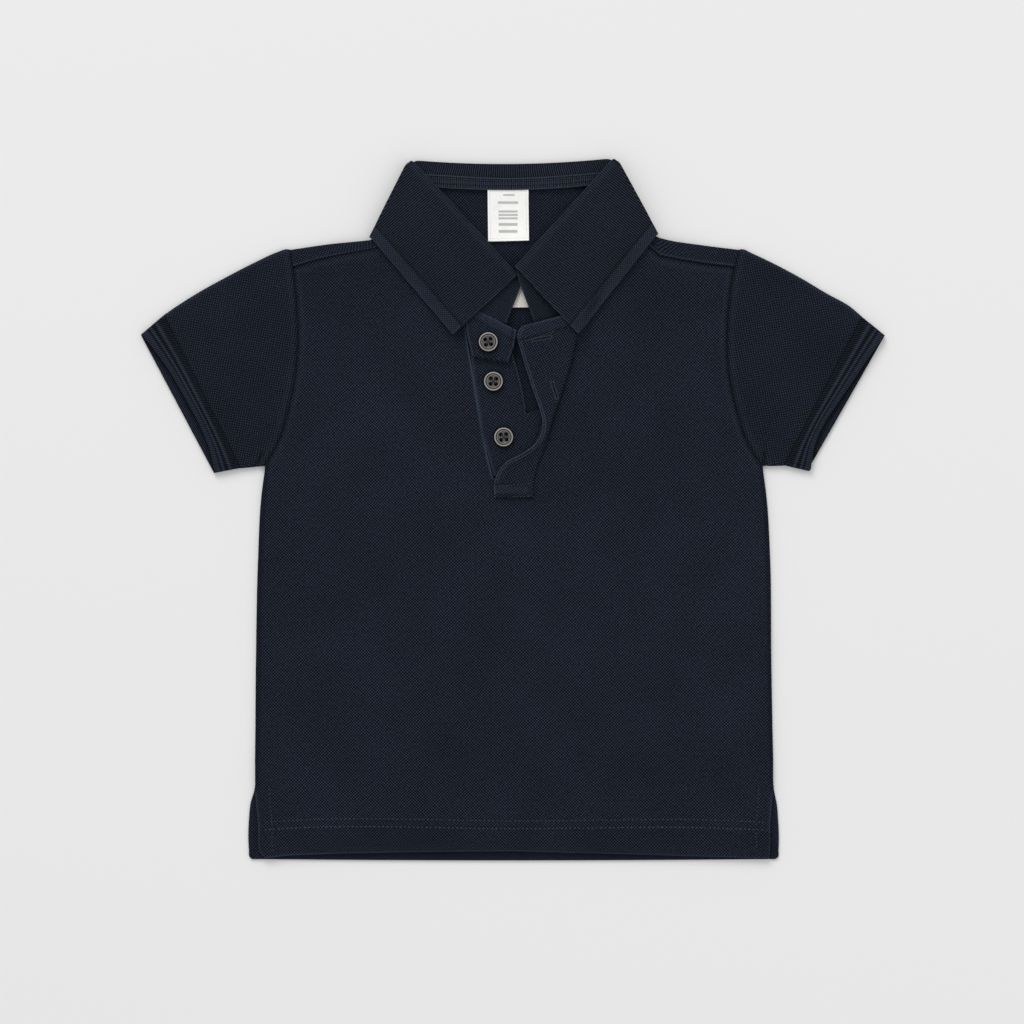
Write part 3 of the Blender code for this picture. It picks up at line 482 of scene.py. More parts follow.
def pique_finish(name, ground, thread, pale_wear_and_highlight_tone, pitch):
    """Washed cotton pique: a lattice of raised knots over a darker ground, with uneven dye."""
    finish = new_finish(name, {"Specular IOR Level": 0.06, "Sheen Weight": 0.02, "Sheen Roughness": 0.5})
    tree = finish.node_tree

    def math_node(operation, a, b=None):
        inputs = {0: a} if b is None else {0: a, 1: b}
        return add_node(tree, "Math", inputs, operation=operation).outputs["Value"]

    def noise(vector, scale, detail):
        inputs = {"Scale": scale, "Detail": detail, "Vector": vector}
        return add_node(tree, "TexNoise", inputs).outputs["Fac"]

    def shift(value, centre, amount):
        """A value around 0.5 turned to a factor around centre."""
        return math_node("ADD", math_node("MULTIPLY", math_node("SUBTRACT", value, 0.5), amount), centre)

    def blend(factor, low, high):
        inputs = {"Factor": factor, "A": low, "B": high}
        return add_node(tree, "Mix", inputs, data_type="RGBA").outputs["Result"]
    place = add_node(tree, "UVMap", uv_map="grain").outputs["UV"]
    split = add_node(tree, "SeparateXYZ", {"Vector": place})
    turn = 2 * math.pi / (pitch * MM)
    wander, stray = noise(place, 260.0, 1.0), noise(place, 190.0, 1.0)
    across = math_node("ADD", math_node("MULTIPLY", split.outputs["X"], turn), shift(wander, 0.0, 3.4))
    along = math_node("ADD", math_node("MULTIPLY", split.outputs["Y"], turn), shift(stray, 0.0, 3.4))
    knots = math_node("MULTIPLY", math_node("COSINE", across), math_node("COSINE", along))
    raised = math_node("ADD", math_node("MULTIPLY", knots, 0.5), 0.5)
    fuzz = noise(place, 1500.0, 2.0)
    uneven = noise(place, 640.0, 0.0)
    cover = math_node("MULTIPLY", math_node("POWER", raised, 2.5), shift(fuzz, 1.0, 1.0))
    cover = math_node("MULTIPLY", cover, shift(uneven, 1.0, 1.0))
    colour = blend(cover, ground, thread)

    dye = noise(place, 34.0, 4.0)
    patches = noise(place, 11.0, 2.0)
    tone = math_node("MULTIPLY", shift(dye, 1.0, 0.5), shift(patches, 1.0, 0.35))
    # The marks attribute pales the cloth where positive: worn edges and folds, and painted highlights
    # beside some seams and on the cuff ridges. Where negative it darkens: seam lines, woven bars, and
    # painted shade in grooves, creases and holes and under raised edges.
    marks_and_light = add_node(tree, "Attribute", attribute_name="worn").outputs["Fac"]
    edge = math_node("MULTIPLY", math_node("MAXIMUM", marks_and_light, 0.0), shift(fuzz, 1.0, 1.0))
    colour = blend(edge, colour, pale_wear_and_highlight_tone)
    hollow = math_node("ADD", math_node("MULTIPLY", math_node("MINIMUM", marks_and_light, 0.0), 0.75), 1.0)
    shade = {"Vector": colour, "Scale": math_node("MULTIPLY", tone, hollow)}
    colour = add_node(tree, "VectorMath", shade, operation="SCALE").outputs["Vector"]
    fill(tree, tree.nodes["Principled BSDF"], {"Base Color": colour})
    relief = math_node("ADD", raised, math_node("MULTIPLY", fuzz, 0.5))
    surface(tree, raised, (0.97, 0.83), relief, 0.8, 0.16)
    return finish


NAVY_GROUND = (0.0010, 0.0014, 0.0026)
NAVY_THREAD = (0.0334, 0.0434, 0.0725)
NAVY_WEAR_AND_HIGHLIGHT = (0.0500, 0.0660, 0.1000)
PIQUE_PITCH = 1.61
BACK_VENT_TOP = -140.0
body_pique = pique_finish("washed navy pique", NAVY_GROUND, NAVY_THREAD, NAVY_WEAR_AND_HIGHLIGHT, PIQUE_PITCH)

right_fold, left_fold = shoulder_fold(-1), shoulder_fold(1)
right_inset, left_inset = inset(right_fold, -1), inset(left_fold, 1)
neck_back = smooth_line([Point(*right_inset[-1])] + NECK_BACK + [Point(*left_inset[-1])], NECK_COLUMNS + 1)
back_top = joined(right_inset, neck_back, left_inset[::-1])
back_start, back_end = body_edge(BACK_SIDE, -1, ROWS_HIGH), body_edge(BACK_SIDE, 1, ROWS_HIGH)
up_armhole = np.linspace(0.0, 1.0, ROWS_HIGH + 1)[:, None]
back_start[ROWS_LOW:] += (back_top[0] - back_start[-1]) * up_armhole
back_end[ROWS_LOW:] += (back_top[-1] - back_end[-1]) * up_armhole
back_hem = smooth_line(HEM_BACK, len(back_top), level_shares(back_top))
back_plan = patch(back_hem, back_top, back_start, back_end)
hem_distance = distance_to(back_plan, back_hem)
vents = [edge[edge[:, 1] < BACK_VENT_TOP] for edge in (back_start, back_end)]
vent_distance = np.minimum(distance_to(back_plan, vents[0]), distance_to(back_plan, vents[1]))
# Paler along the hem and vent edges where worn; darker all over, and more so within 9 mm of the hem, as
# painted shade where the back lies under the front's edges.
back_wear_and_shade = 0.25 * hump(np.minimum(hem_distance, vent_distance))
back_wear_and_shade = back_wear_and_shade - 0.16 - 0.14 * ease((9.0 - hem_distance) / 4.0)
back_lays = [Lay(lift(back_plan, back_height(back_plan)), back_plan, back_wear_and_shade)]
for side, fold, start in ((-1, right_fold, right_inset), (1, left_fold, left_inset)):
    back_lays.append(shoulder_flap(start, fold, seam_line(side)))
back = lay_sheet("back_cloth", back_lays, PIQUE, body_pique)
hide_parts("back")
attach(back, "root")

# ---------------------------------------------------------------------------------------------
# Front panel
# One piece of the same pique, a little narrower than the back at the vents, slit at the centre
# for the placket. The hem is turned up 16 mm and held by two rows of stitching, and the side
# vents are turned back and topstitched.

FRONT_SIDE = [
    SideRow(-184.5, -130.7, 135.2),
    SideRow(-181.8, -133.0, 135.7),
    SideRow(-167.5, -134.3, 136.0),
    SideRow(-149.7, -135.8, 137.3),
    SideRow(-111.8, -135.1, 136.6),
    SideRow(-48.2, -134.4, 135.9),
    SideRow(-5.8, -132.8, 134.4),
    SideRow(22.8, -130.7, 132.1),
]
HEM_FRONT = {
    -1: [Point(-130.7, -184.3), Point(-123.0, -183.3), Point(-102.5, -182.2), Point(-71.5, -181.4),
         Point(0.3, -180.7)],
    1: [Point(135.2, -184.5), Point(99.6, -183.5), Point(57.2, -182.2), Point(0.3, -180.7)],
}
NECK_FRONT = {
    -1: [Point(-52.2, 162.6), Point(-44.7, 140.4), Point(-35.1, 121.0), Point(-25.9, 109.6)],
    1: [Point(52.8, 163.0), Point(45.8, 141.4), Point(38.4, 121.1), Point(30.2, 105.2)],
}
SLIT = {
    -1: [Point(0.3, 8.6), Point(-10.4, 16.6), Point(-13.5, 29.2), Point(-17.5, 50.9),
         Point(-21.9, 76.9), Point(-24.6, 93.8), Point(-25.9, 109.6)],
    1: [Point(0.3, 8.6), Point(11.0, 17.0), Point(12.0, 24.0), Point(13.6, 33.0), Point(17.2, 40.6),
        Point(20.0, 49.8), Point(22.6, 59.4), Point(25.4, 73.7), Point(27.6, 88.0), Point(30.2, 105.2)],
}
HEM_DEPTH = 16.0
VENT_TOP = -149.7
VENT_DEPTH = 7.5        # of the turned edge beside a vent
FRONT_NECK_COLUMNS = 32
NECK_PULL = -1.5        # columns lie closer towards the slit
SLIT_FOOT_ROWS = 6      # of the slit's short slanting foot

front_lays = []
for side in (-1, 1):
    seam = seam_line(side)
    neck = smooth_line(NECK_FRONT[side], FRONT_NECK_COLUMNS + 1, graded(FRONT_NECK_COLUMNS, NECK_PULL))
    top = joined(seam, neck)
    hem = smooth_line(HEM_FRONT[side], len(top), level_shares(top))
    slit_shares = graded(ROWS_HIGH - SLIT_FOOT_ROWS - 1, SHOULDER_PULL)
    slit = joined(
        smooth_line(SLIT[side][:2], SLIT_FOOT_ROWS + 1),
        smooth_line(SLIT[side][1:], ROWS_HIGH - SLIT_FOOT_ROWS, slit_shares),
    )
    centre = smooth_line([hem[-1], slit[0]], ROWS_LOW + 1, graded(ROWS_LOW, HEM_PULL))
    start = body_edge(FRONT_SIDE, side, ROWS_HIGH - 1, SEAM_START)
    end = joined(centre, slit)
    end[-1] = top[-1]
    plan = patch(hem, top, start, end)
    height = front_height(plan)
    to_hem = distance_to(plan, hem)
    vent = start[start[:, 1] < VENT_TOP + 1.0]
    to_vent = distance_to(plan, vent)
    to_shoulder = distance_to(plan, seam)
    to_armhole = distance_to(plan, start[ROWS_LOW:])
    to_side = distance_to(plan, start[: ROWS_LOW + 1])
    to_slit = distance_to(plan, slit)
    # turned-up hem: thicker by a little, drawn in along its stitching
    height += 0.22 * ease((HEM_DEPTH - to_hem) / 1.6)
    height -= 0.20 * hump(to_hem - HEM_DEPTH + 0.8, 0.9)
    height -= 0.14 * hump(to_hem - HEM_DEPTH + 4.4, 0.8)
    in_vent = ease((VENT_TOP + 6.0 - plan[..., 1]) / 8.0)
    height += 0.15 * ease((VENT_DEPTH - to_vent) / 1.5) * in_vent
    height -= 0.12 * hump(to_vent - 7.0, 0.9) * in_vent
    # small puckers that the hem's stitching draws into the cloth
    pucker = np.sin(plan[..., 0] / 1.9 + 2.0 * np.sin(plan[..., 0] / 13.0))
    height += 0.05 * pucker * hump(to_hem - HEM_DEPTH, 4.0)
    # seams sink a little where the cloth is drawn together
    height -= 0.30 * hump(to_shoulder, 1.0) + 0.25 * hump(to_armhole, 1.0)
    worn = 0.34 * hump(np.minimum(to_hem, to_vent), 0.7) - 0.10 * ease((HEM_DEPTH - 1.0 - to_hem) / 1.5)
    worn -= 0.90 * hump(to_shoulder, 0.8) + 0.85 * hump(to_armhole, 0.8)
    # Painted highlight: a faint paler line beside the shoulder and armhole seams.
    worn += 0.06 * hump(to_shoulder - 2.6, 1.3) + 0.05 * hump(to_armhole - 2.4, 1.2)
    worn -= 0.55 * hump(to_side - 1.0, 0.8) * (1.0 - in_vent)
    if side < 0:
        # Painted highlight along the slit's edge.
        worn += 0.7 * hump(to_slit, 0.7) * ease((plan[..., 1] - 14.0) / 4.0)
    else:
        # Painted shadow along the slit, where the buttonhole band's raised roll lies over it.
        worn -= 0.5 * hump(to_slit, 2.2) * ease((plan[..., 1] - 26.0) / 6.0)
    front_lays.append(Lay(lift(plan, height), plan, worn))
front = lay_sheet("front_cloth", front_lays, PIQUE, body_pique)
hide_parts("front")
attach(front, "root")

# ---------------------------------------------------------------------------------------------
# Front stitching
# Navy thread. Two level rows run along the turned-up hem and one beside each vent. Every stitch is a
# short bead of thread, sunk at both ends, laid on the cloth that it holds.

HEM_ROW = [Point(-131.5, -169.5), Point(-119.0, -168.7), Point(0.0, -168.8), Point(122.0, -169.0),
           Point(133.5, -169.6)]
HEM_ROWS_APART = 4.1
HEM_PITCH = 2.3
VENT_STITCH = 7.4
STITCH_SIDES, STITCH_RINGS = 8, 5
STITCH_BEND = 1.3       # how far the ends of a stitch bend down, for one of unit length
STITCH_STAND = 0.12     # share of its width by which a stitch stands off the cloth
THREAD_TONES = (0.0070, 0.0095, 0.0160), (0.0460, 0.0590, 0.0850)
Row = namedtuple("Row", "cloth pitch length width line across", defaults=(False,))


def set_tones(ramp, tones):
    """Dark and pale end of a colour ramp."""
    for stop, tone in zip(ramp.color_ramp.elements, tones):
        stop.color = (*tone, 1.0)


navy_thread = new_finish("navy sewing thread", {"Sheen Weight": 0.10, "Specular IOR Level": 0.25})
tree = navy_thread.node_tree
where = add_node(tree, "TexCoord").outputs["Object"]
ply = add_node(
    tree, "TexWave", {"Scale": 900.0, "Distortion": 3.0, "Vector": where},
    wave_type="BANDS", bands_direction="DIAGONAL",
).outputs["Fac"]
twist = add_node(tree, "ValToRGB", {"Fac": ply})
set_tones(twist, THREAD_TONES)
fill(tree, tree.nodes["Principled BSDF"], {"Base Color": twist.outputs["Color"]})
surface(tree, ply, (0.75, 0.55), ply, 0.5, 0.05)

def line_points(line, pitch):
    """Middles and directions of stitches laid end to end along a line."""
    reach = gone(line)
    at = np.arange(pitch / 2, reach[-1], pitch)
    middle, ahead, behind = (
        np.stack([np.interp(at + off, reach, line[:, k]) for k in (0, 1)], axis=1)
        for off in (0.0, 0.3, -0.3)
    )
    return middle, unit(ahead - behind)


def sew(name, rows, thread=navy_thread):
    """All stitches of some rows, each copied from one bead and set on its cloth's surface."""
    bpy.ops.object.select_all(action="DESELECT")
    bpy.ops.mesh.primitive_uv_sphere_add(segments=STITCH_SIDES, ring_count=STITCH_RINGS, radius=0.5)
    bead = bpy.context.object
    bpy.ops.object.mode_set(mode="EDIT")
    bpy.ops.mesh.select_all(action="SELECT")
    bpy.ops.transform.rotate(value=math.pi / 2, orient_axis="Y", center_override=(0.0, 0.0, 0.0))
    bpy.ops.object.mode_set(mode="OBJECT")
    shape = np.array([vertex.co for vertex in bead.data.vertices])
    shape[:, 2] -= STITCH_BEND * shape[:, 0] ** 2
    faces = [tuple(face.vertices) for face in bead.data.polygons]
    bpy.data.objects.remove(bead)
    points, all_faces = [], []
    for row in rows:
        middles, runs = line_points(row.line, row.pitch)
        for spot, run in zip(middles, runs):
            start = Vector((spot[0] * MM, spot[1] * MM, 0.1))
            hit, at, normal, _ = row.cloth.ray_cast(start, Vector((0.0, 0.0, -1.0)))
            if not hit:
                continue
            ahead = Vector((run[0], run[1], 0.0))
            ahead = (ahead - normal * ahead.dot(normal)).normalized()
            beside = normal.cross(ahead)
            if row.across:
                ahead, beside = beside, -ahead
            size = (row.length, row.width, row.width)
            base = len(points)
            for p in shape * size:
                off = ahead * p[0] + beside * p[1] + normal * (p[2] + STITCH_STAND * row.width)
                points.append(np.array(at / MM + off))
            all_faces.extend(tuple(base + k for k in face) for face in faces)
    piece = add_mesh(name, points, all_faces, thread)
    alone(piece)
    face_outward()
    bpy.ops.object.shade_smooth()
    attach(piece, "root")
    return piece


hem_row = smooth_line(HEM_ROW, 120)
sew("hem_stitching", [
    Row(front, HEM_PITCH, 1.10, 0.70, hem_row),
    Row(front, HEM_PITCH, 1.20, 0.46, hem_row + np.array([0.6, HEM_ROWS_APART])),
])
vent_rows = []
for side in (-1, 1):
    edge = smooth_line(side_points(FRONT_SIDE, side), 200)
    edge = edge[(edge[:, 1] > -182.0) & (edge[:, 1] < VENT_TOP + 2.0)]
    vent_rows.append(Row(front, HEM_PITCH, 1.2, 0.30, edge - np.array([side * VENT_STITCH, 0.0])))
sew("vent_stitching", vent_rows)

# ---------------------------------------------------------------------------------------------
# Sleeves
# Each is one piece of the same pique folded round and sewn along the underarm, set into the
# armhole with its grain square to the arm. Both lie flat, the right one on the left of the shirt.

SLEEVE_TOP = [
    SideRow(137.0, -117.1, 119.3),
    SideRow(137.3, -118.9, 121.6),
    SideRow(135.6, -124.8, 125.6),
    SideRow(130.9, -135.1, 135.7),
    SideRow(122.4, -151.7, 151.9),
    SideRow(114.0, -166.8, 166.0),
    SideRow(107.0, -177.8, 178.4),
]
Cuff = namedtuple("Cuff", "seam_top seam_low back_top back_low front_edge")
CUFF = {
    -1: Cuff(Point(-184.4, 102.4), Point(-144.0, 21.6), Point(-196.2, 92.4), Point(-157.3, 19.0),
             [Point(-195.4, 92.6), Point(-188.6, 84.0), Point(-180.3, 72.4), Point(-172.6, 59.1),
              Point(-165.8, 46.6), Point(-159.4, 31.3), Point(-156.8, 19.4)]),
    1: Cuff(Point(184.9, 101.4), Point(143.6, 23.0), Point(196.2, 92.4), Point(155.0, 20.3),
            [Point(195.7, 92.0), Point(187.0, 80.0), Point(179.4, 68.9), Point(171.5, 57.2),
             Point(164.4, 46.6), Point(158.8, 34.2), Point(156.6, 20.6)]),
}
SEW_GAP = 0.1           # the sewn edges at the armhole and at the cuff all but touch
SLEEVE_PUFF = 1.0       # the front stands off the back in the middle
SLEEVE_END = 2.1        # height of the front at the cuff
SLEEVE_ROWS = 96        # up the arm's flattened width
SLEEVE_COLUMNS = 52     # along the arm
SLEEVE_CUT = 33.0       # degrees between the sleeve's grain and the front's
# A short hard crease runs up from the underarm
UNDERARM_CREASE = {
    -1: [Point(-135.0, 23.4), Point(-132.6, 28.6)],
    1: [Point(133.6, 23.4), Point(133.2, 28.6)],
}


def drawn_in(points, low, high):
    """The same rows, evenly moved in from both ends by a length for each column."""
    rows = len(points)
    length = np.linalg.norm(np.diff(points[..., :2], axis=0), axis=2).sum(0)
    at = np.linspace(0.0, 1.0, rows)[:, None] * (1 - (low + high) / length) + low / length
    at = at * (rows - 1)
    k = np.clip(at.astype(int), 0, rows - 2)
    column = np.arange(points.shape[1])[None, :]
    share = (at - k)[..., None]
    return points[k, column] * (1 - share) + points[k + 1, column] * share


def flattened_tube(front_points, back_points, wall):
    """Closed rings round a flattened tube; rows run across the arm and columns along it."""
    radii = [(front_points[end, :, 2] - back_points[end, :, 2]) / 2 for end in (0, -1)]
    outs = [
        unit(front_points[end, :, :2] - front_points[inner, :, :2]) for end, inner in ((0, 4), (-1, -5))
    ]
    front_points = drawn_in(front_points, radii[0] + wall / 2, radii[1] + wall / 2)
    back_points = drawn_in(back_points, radii[0] + wall / 2, radii[1] + wall / 2)
    bends = []
    for end, out in ((-1, outs[1]), (0, outs[0])):
        low, high = back_points[end], front_points[end]
        radius = (high[:, 2] - low[:, 2]) / 2
        bend = []
        for angle in np.linspace(0.0, math.pi, FOLD_STEPS + 1)[1:-1]:
            points = high + (low - high) * (1 - math.cos(angle)) / 2
            points[:, :2] += out * (radius * math.sin(angle))[:, None]
            bend.append(points)
        bends.append(np.stack(bend))
    return np.concatenate([front_points, bends[0], back_points[::-1], bends[1][::-1], front_points[:1]])


def slanted(plan, degrees):
    """Grain of a piece cut at an angle to the panels."""
    turn = math.radians(degrees)
    cos, sin = math.cos(turn), math.sin(turn)
    x, y = plan[..., 0], plan[..., 1]
    return np.stack([x * cos - y * sin, x * sin + y * cos], axis=-1)


def tube_grain(rings, rows, degrees):
    """Grain that lies flat on both layers and is carried round the folds by length."""
    plan = rings[..., :2].copy()
    for edge, inner, way in ((rows, rows - 4, 1), (len(rings) - 1, 4, -1)):
        out = unit(rings[edge, :, :2] - rings[inner, :, :2])
        gone = np.zeros((rings.shape[1], 1))
        for row in range(edge + way, edge + way * FOLD_STEPS, way):
            gone += np.linalg.norm(rings[row] - rings[row - way], axis=1)[:, None]
            plan[row] = rings[edge, :, :2] + out * gone
    return slanted(plan, degrees)


def carried_round(front, back):
    """Values of a flattened tube's two layers, in the order of its rings."""
    return np.concatenate([
        front, np.repeat(front[-1:], FOLD_STEPS - 1, 0),
        back[::-1], np.repeat(front[:1], FOLD_STEPS - 1, 0), front[:1],
    ])


def beside_line(line, side, amount):
    run = np.gradient(line, axis=0)
    normal = unit(np.stack([run[:, 1], -run[:, 0]], axis=1))
    return line + normal * np.sign(normal[:, :1]) * side * amount


SLEEVE_CREASES = [
    (0.10, 0.12, 0.80, 0.42, 0.055, 0.55),
    (0.06, 0.30, 0.62, 0.66, 0.050, 0.42),
    (0.20, 0.86, 0.92, 0.72, 0.060, 0.40),
    (0.45, 0.20, 0.96, 0.16, 0.050, 0.34),
]


def sleeve_creases(c, w):
    """Soft drag lines from the underarm and the shoulder, in shares along and across the arm."""
    height = np.zeros(np.broadcast(c, w).shape)
    for c0, w0, c1, w1, width, tall in SLEEVE_CREASES:
        along = np.clip((c - c0) / (c1 - c0), 0.0, 1.0)
        off = w - (w0 + (w1 - w0) * along) - 0.03 * np.sin(math.pi * along)
        fade = ease((c - c0) / 0.25 + 0.2) * ease((c1 - c) / 0.3 + 0.2)
        height += tall * fade * (hump(off, width) - 0.6 * hump(off - 0.1, 0.07))
    return height * ease(c / 0.12) * ease((1.0 - c) / 0.12) * ease(w / 0.1) * ease((1.0 - w) / 0.1)


sleeve_pique = pique_finish(
    "washed navy pique, sleeves", (0.0026, 0.0035, 0.0058), (0.0246, 0.0320, 0.0532), NAVY_WEAR_AND_HIGHLIGHT, 1.75,
)
for side, word in ((-1, "r"), (1, "l")):
    cuff = CUFF[side]
    start = beside_line(smooth_line(side_points(ARMHOLE, side), SLEEVE_ROWS + 1), side, SEW_GAP)
    end = smooth_line([cuff.seam_low, cuff.seam_top], SLEEVE_ROWS + 1)
    shares = both_ends(SLEEVE_COLUMNS)
    top = [Point(*start[-1])] + side_points(SLEEVE_TOP, side)[1:] + [cuff.seam_top]
    top = smooth_line(top, SLEEVE_COLUMNS + 1, shares)
    bottom = smooth_line([Point(*start[0]), cuff.seam_low], SLEEVE_COLUMNS + 1, shares)
    plan = patch(bottom, top, start, end)
    c = shares[None, :]
    w = np.linspace(0.0, 1.0, SLEEVE_ROWS + 1)[:, None]
    puff = SLEEVE_PUFF * np.sin(math.pi * c) * np.sin(math.pi * w)
    height = front_height(start)[:, None] * (1 - c) + SLEEVE_END * c + puff + sleeve_creases(c, w)
    to_armhole = distance_to(plan, start)
    to_cuff = distance_to(plan, end)
    height -= 0.30 * hump(to_armhole, 1.0) - 0.05 * hump(to_armhole - 2.6, 2.0)
    height -= 0.30 * hump(to_cuff, 0.9)
    to_crease = distance_to(plan, UNDERARM_CREASE[side])
    height -= 0.45 * hump(to_crease, 0.9)
    front_points = lift(plan, height)
    back_points = lift(plan, np.full(plan.shape[:2], PIQUE / 2))
    rings = flattened_tube(front_points, back_points, PIQUE)
    reach = carried_round(to_armhole, to_armhole)
    to_end = carried_round(to_cuff, to_cuff)
    grain = tube_grain(rings, SLEEVE_ROWS, side * SLEEVE_CUT)
    worn = -0.80 * hump(reach, 0.8) - 0.6 * hump(to_end, 0.8)
    # Painted highlight: a faint paler line beside the armhole seam.
    worn = worn + 0.05 * hump(reach - 2.6, 1.4)
    # Painted shade: a dark line along the underarm crease.
    worn[: SLEEVE_ROWS + 1] -= 0.85 * hump(to_crease, 0.8)
    worn[SLEEVE_ROWS : SLEEVE_ROWS + FOLD_STEPS] += 0.10
    sleeve = lay_sheet("sleeve_cloth_" + word, [Lay(rings, grain, worn)], PIQUE, sleeve_pique)
    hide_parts("sleeve_" + word)
    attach(sleeve, "root")

# ---------------------------------------------------------------------------------------------
# Cuffs
# Flat-knit rib bands closed to rings and sewn to the sleeves. Three ridges are knitted along
# each. The front layer pulls back in a curve, so the inside of the back layer shows beyond it.

CUFF_WALL = 1.2
CUFF_ROWS = 110
CUFF_COLUMNS = 40
CUFF_EDGE_RISE = 0.9
CUFF_LENGTH, CUFF_DEPTH, CUFF_DOT_PITCH = 86.0, 13.5, 1.9
CuffRidge = namedtuple("CuffRidge", "at tall width pale")   # places are shares from seam to edge
CuffGroove = namedtuple("CuffGroove", "at width dark")
CUFF_RIDGES = [
    CuffRidge(0.35, 0.40, 0.045, 0.36),
    CuffRidge(0.62, 0.40, 0.035, 0.36),
    CuffRidge(0.85, 0.30, 0.10, 0.18),
]
CUFF_GROOVES = [CuffGroove(0.14, 0.10, 0.60), CuffGroove(0.50, 0.055, 0.85), CuffGroove(0.71, 0.030, 0.90)]
CUFF_REACH = {-1: 0.4, 1: 0.8}  # the knit edge stands out a little beyond its solid
RIB_BAR_PITCH = 0.95
TURN_AT_LEAST = 100.0   # only the two multipliers that set a weave's pitch are this large


def add_coarse_knots(tree, ribs, pitch):
    """Mixes a coarser lattice into the ribs by the mesh's "coarse" attribute."""
    split = [n for n in tree.nodes if n.type == "SEPXYZ"][0]
    users = [link.to_socket for link in ribs.outputs["Value"].links]
    waves = []
    for axis in ("X", "Y"):
        place = {0: split.outputs[axis], 1: 2 * math.pi / (pitch * MM)}
        turn = add_node(tree, "Math", place, operation="MULTIPLY").outputs["Value"]
        waves.append(add_node(tree, "Math", {0: turn}, operation="COSINE").outputs["Value"])
    knots = add_node(tree, "Math", dict(enumerate(waves)), operation="MULTIPLY").outputs["Value"]
    share = add_node(tree, "Attribute", attribute_name="coarse").outputs["Fac"]
    chosen = add_node(tree, "Mix", {"Factor": share, "A": ribs.outputs["Value"], "B": knots})
    for socket in users:
        tree.links.new(chosen.outputs["Result"], socket)


def rib_finish(name, ground, thread, pale_wear_and_highlight_tone, pitch, coarse_pitch=0.0):
    """Flat-knit rib: fine ribs along V of the chart, coarse knots where "coarse" is 1."""
    finish = body_pique.copy()
    finish.name = name
    tree = finish.node_tree
    maths = [n for n in tree.nodes if n.type == "MATH"]
    multipliers = [n for n in maths if n.operation == "MULTIPLY"]
    rib_turn, bar_turn = (n for n in multipliers if n.inputs[1].default_value > TURN_AT_LEAST)
    rib_turn.inputs[1].default_value = 2 * math.pi / (pitch * MM)
    bar_turn.inputs[1].default_value = 2 * math.pi / (RIB_BAR_PITCH * MM)
    rib_wave, bar_wave = (n.outputs["Value"] for n in maths if n.operation == "COSINE")
    product = rib_wave.links[0].to_node
    fine = add_node(tree, "Math", {0: bar_wave, 1: 0.22, 2: 0.85}, operation="MULTIPLY_ADD")
    tree.links.new(fine.outputs["Value"], product.inputs[1])
    sharp = [n for n in maths if n.operation == "POWER"][0]
    sharp.inputs[1].default_value = 3.0
    if coarse_pitch:
        add_coarse_knots(tree, product, coarse_pitch)
    for node in tree.nodes:
        if node.type == "MIX" and node.data_type == "RGBA":
            first_mix = not node.inputs["A"].is_linked
            fill(tree, node, {"A": ground, "B": thread} if first_mix else {"B": pale_wear_and_highlight_tone})
    return finish


cuff_rib = rib_finish(
    "washed navy rib, cuffs", (0.0010, 0.0014, 0.0024), (0.0300, 0.0370, 0.0600), NAVY_WEAR_AND_HIGHLIGHT, 1.05,
)
for side, word in ((-1, "r"), (1, "l")):
    cuff = CUFF[side]
    away = np.array([side * SEW_GAP, -SEW_GAP / 2])
    seam = smooth_line([cuff.seam_low, cuff.seam_top], CUFF_ROWS + 1) + away
    edge_rise = cuff.back_top.y - cuff.back_low.y
    edge_run = abs(cuff.back_low.x - cuff.back_top.x)
    outward = unit(np.array([side * edge_rise, -edge_run])) * CUFF_REACH[side]
    back_edge = smooth_line([cuff.back_low, cuff.back_top], CUFF_ROWS + 1) + outward
    front_edge = smooth_line(cuff.front_edge, CUFF_ROWS + 1)[::-1] + outward
    c = np.linspace(0.0, 1.0, CUFF_COLUMNS + 1)[None, :]
    w = np.linspace(0.0, 1.0, CUFF_ROWS + 1)[:, None]
    front_plan = seam[:, None] * (1 - c[..., None]) + front_edge[:, None] * c[..., None]
    back_plan_cuff = seam[:, None] * (1 - c[..., None]) + back_edge[:, None] * c[..., None]
    ridges = np.zeros((CUFF_ROWS + 1, CUFF_COLUMNS + 1))
    tone = np.zeros_like(ridges)
    dots = 0.7 + 0.3 * np.cos(w * CUFF_LENGTH * 2 * math.pi / CUFF_DOT_PITCH)
    # Painted highlight on the raised ridges, paler in dots, and painted shade in the grooves between them.
    for at, tall, width, pale in CUFF_RIDGES:
        ridges += tall * hump(c - at, width) * np.ones_like(w)
        tone += pale * hump(c - at, width) * dots
    for at, width, dark in CUFF_GROOVES:
        tone -= dark * hump(c - at, width) * np.ones_like(w)
    settle = np.minimum(1.0, 14 * w * (1 - w))
    rise = CUFF_EDGE_RISE * np.sin(math.pi * w) * c
    height = RIB / 2 + RIB + GAP + ridges * settle + rise - 0.3 * hump(c, 0.05)
    back_height_cuff = np.full(height.shape, RIB / 2)
    rings = flattened_tube(lift(front_plan, height), lift(back_plan_cuff, back_height_cuff), RIB)
    to_front = distance_to(back_plan_cuff, front_edge)
    # Painted shadow on the back layer along the front layer's edge.
    worn = carried_round(tone, 0.04 - 0.70 * hump(to_front, 1.3))
    worn[: CUFF_ROWS + 1] += 0.16 * hump(1.0 - c, 0.04) - 0.6 * hump(c, 0.04)
    grain = np.stack([gone(rings), np.broadcast_to(c * CUFF_DEPTH, rings.shape[:2])], axis=-1)
    band = lay_sheet("cuff_knit_" + word, [Lay(rings, grain, worn)], CUFF_WALL, cuff_rib)
    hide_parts("cuff_" + word)
    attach(band, "root")

# ---------------------------------------------------------------------------------------------
# Collar
# One strip of flat-knit rib: sewn to the neck, up as the stand, over the roll and down as the
# fall, whose last 6 mm are knitted coarser. At the back the fall lies under the back panel, and
# round each side it doubles over and comes to the front as a leaf.

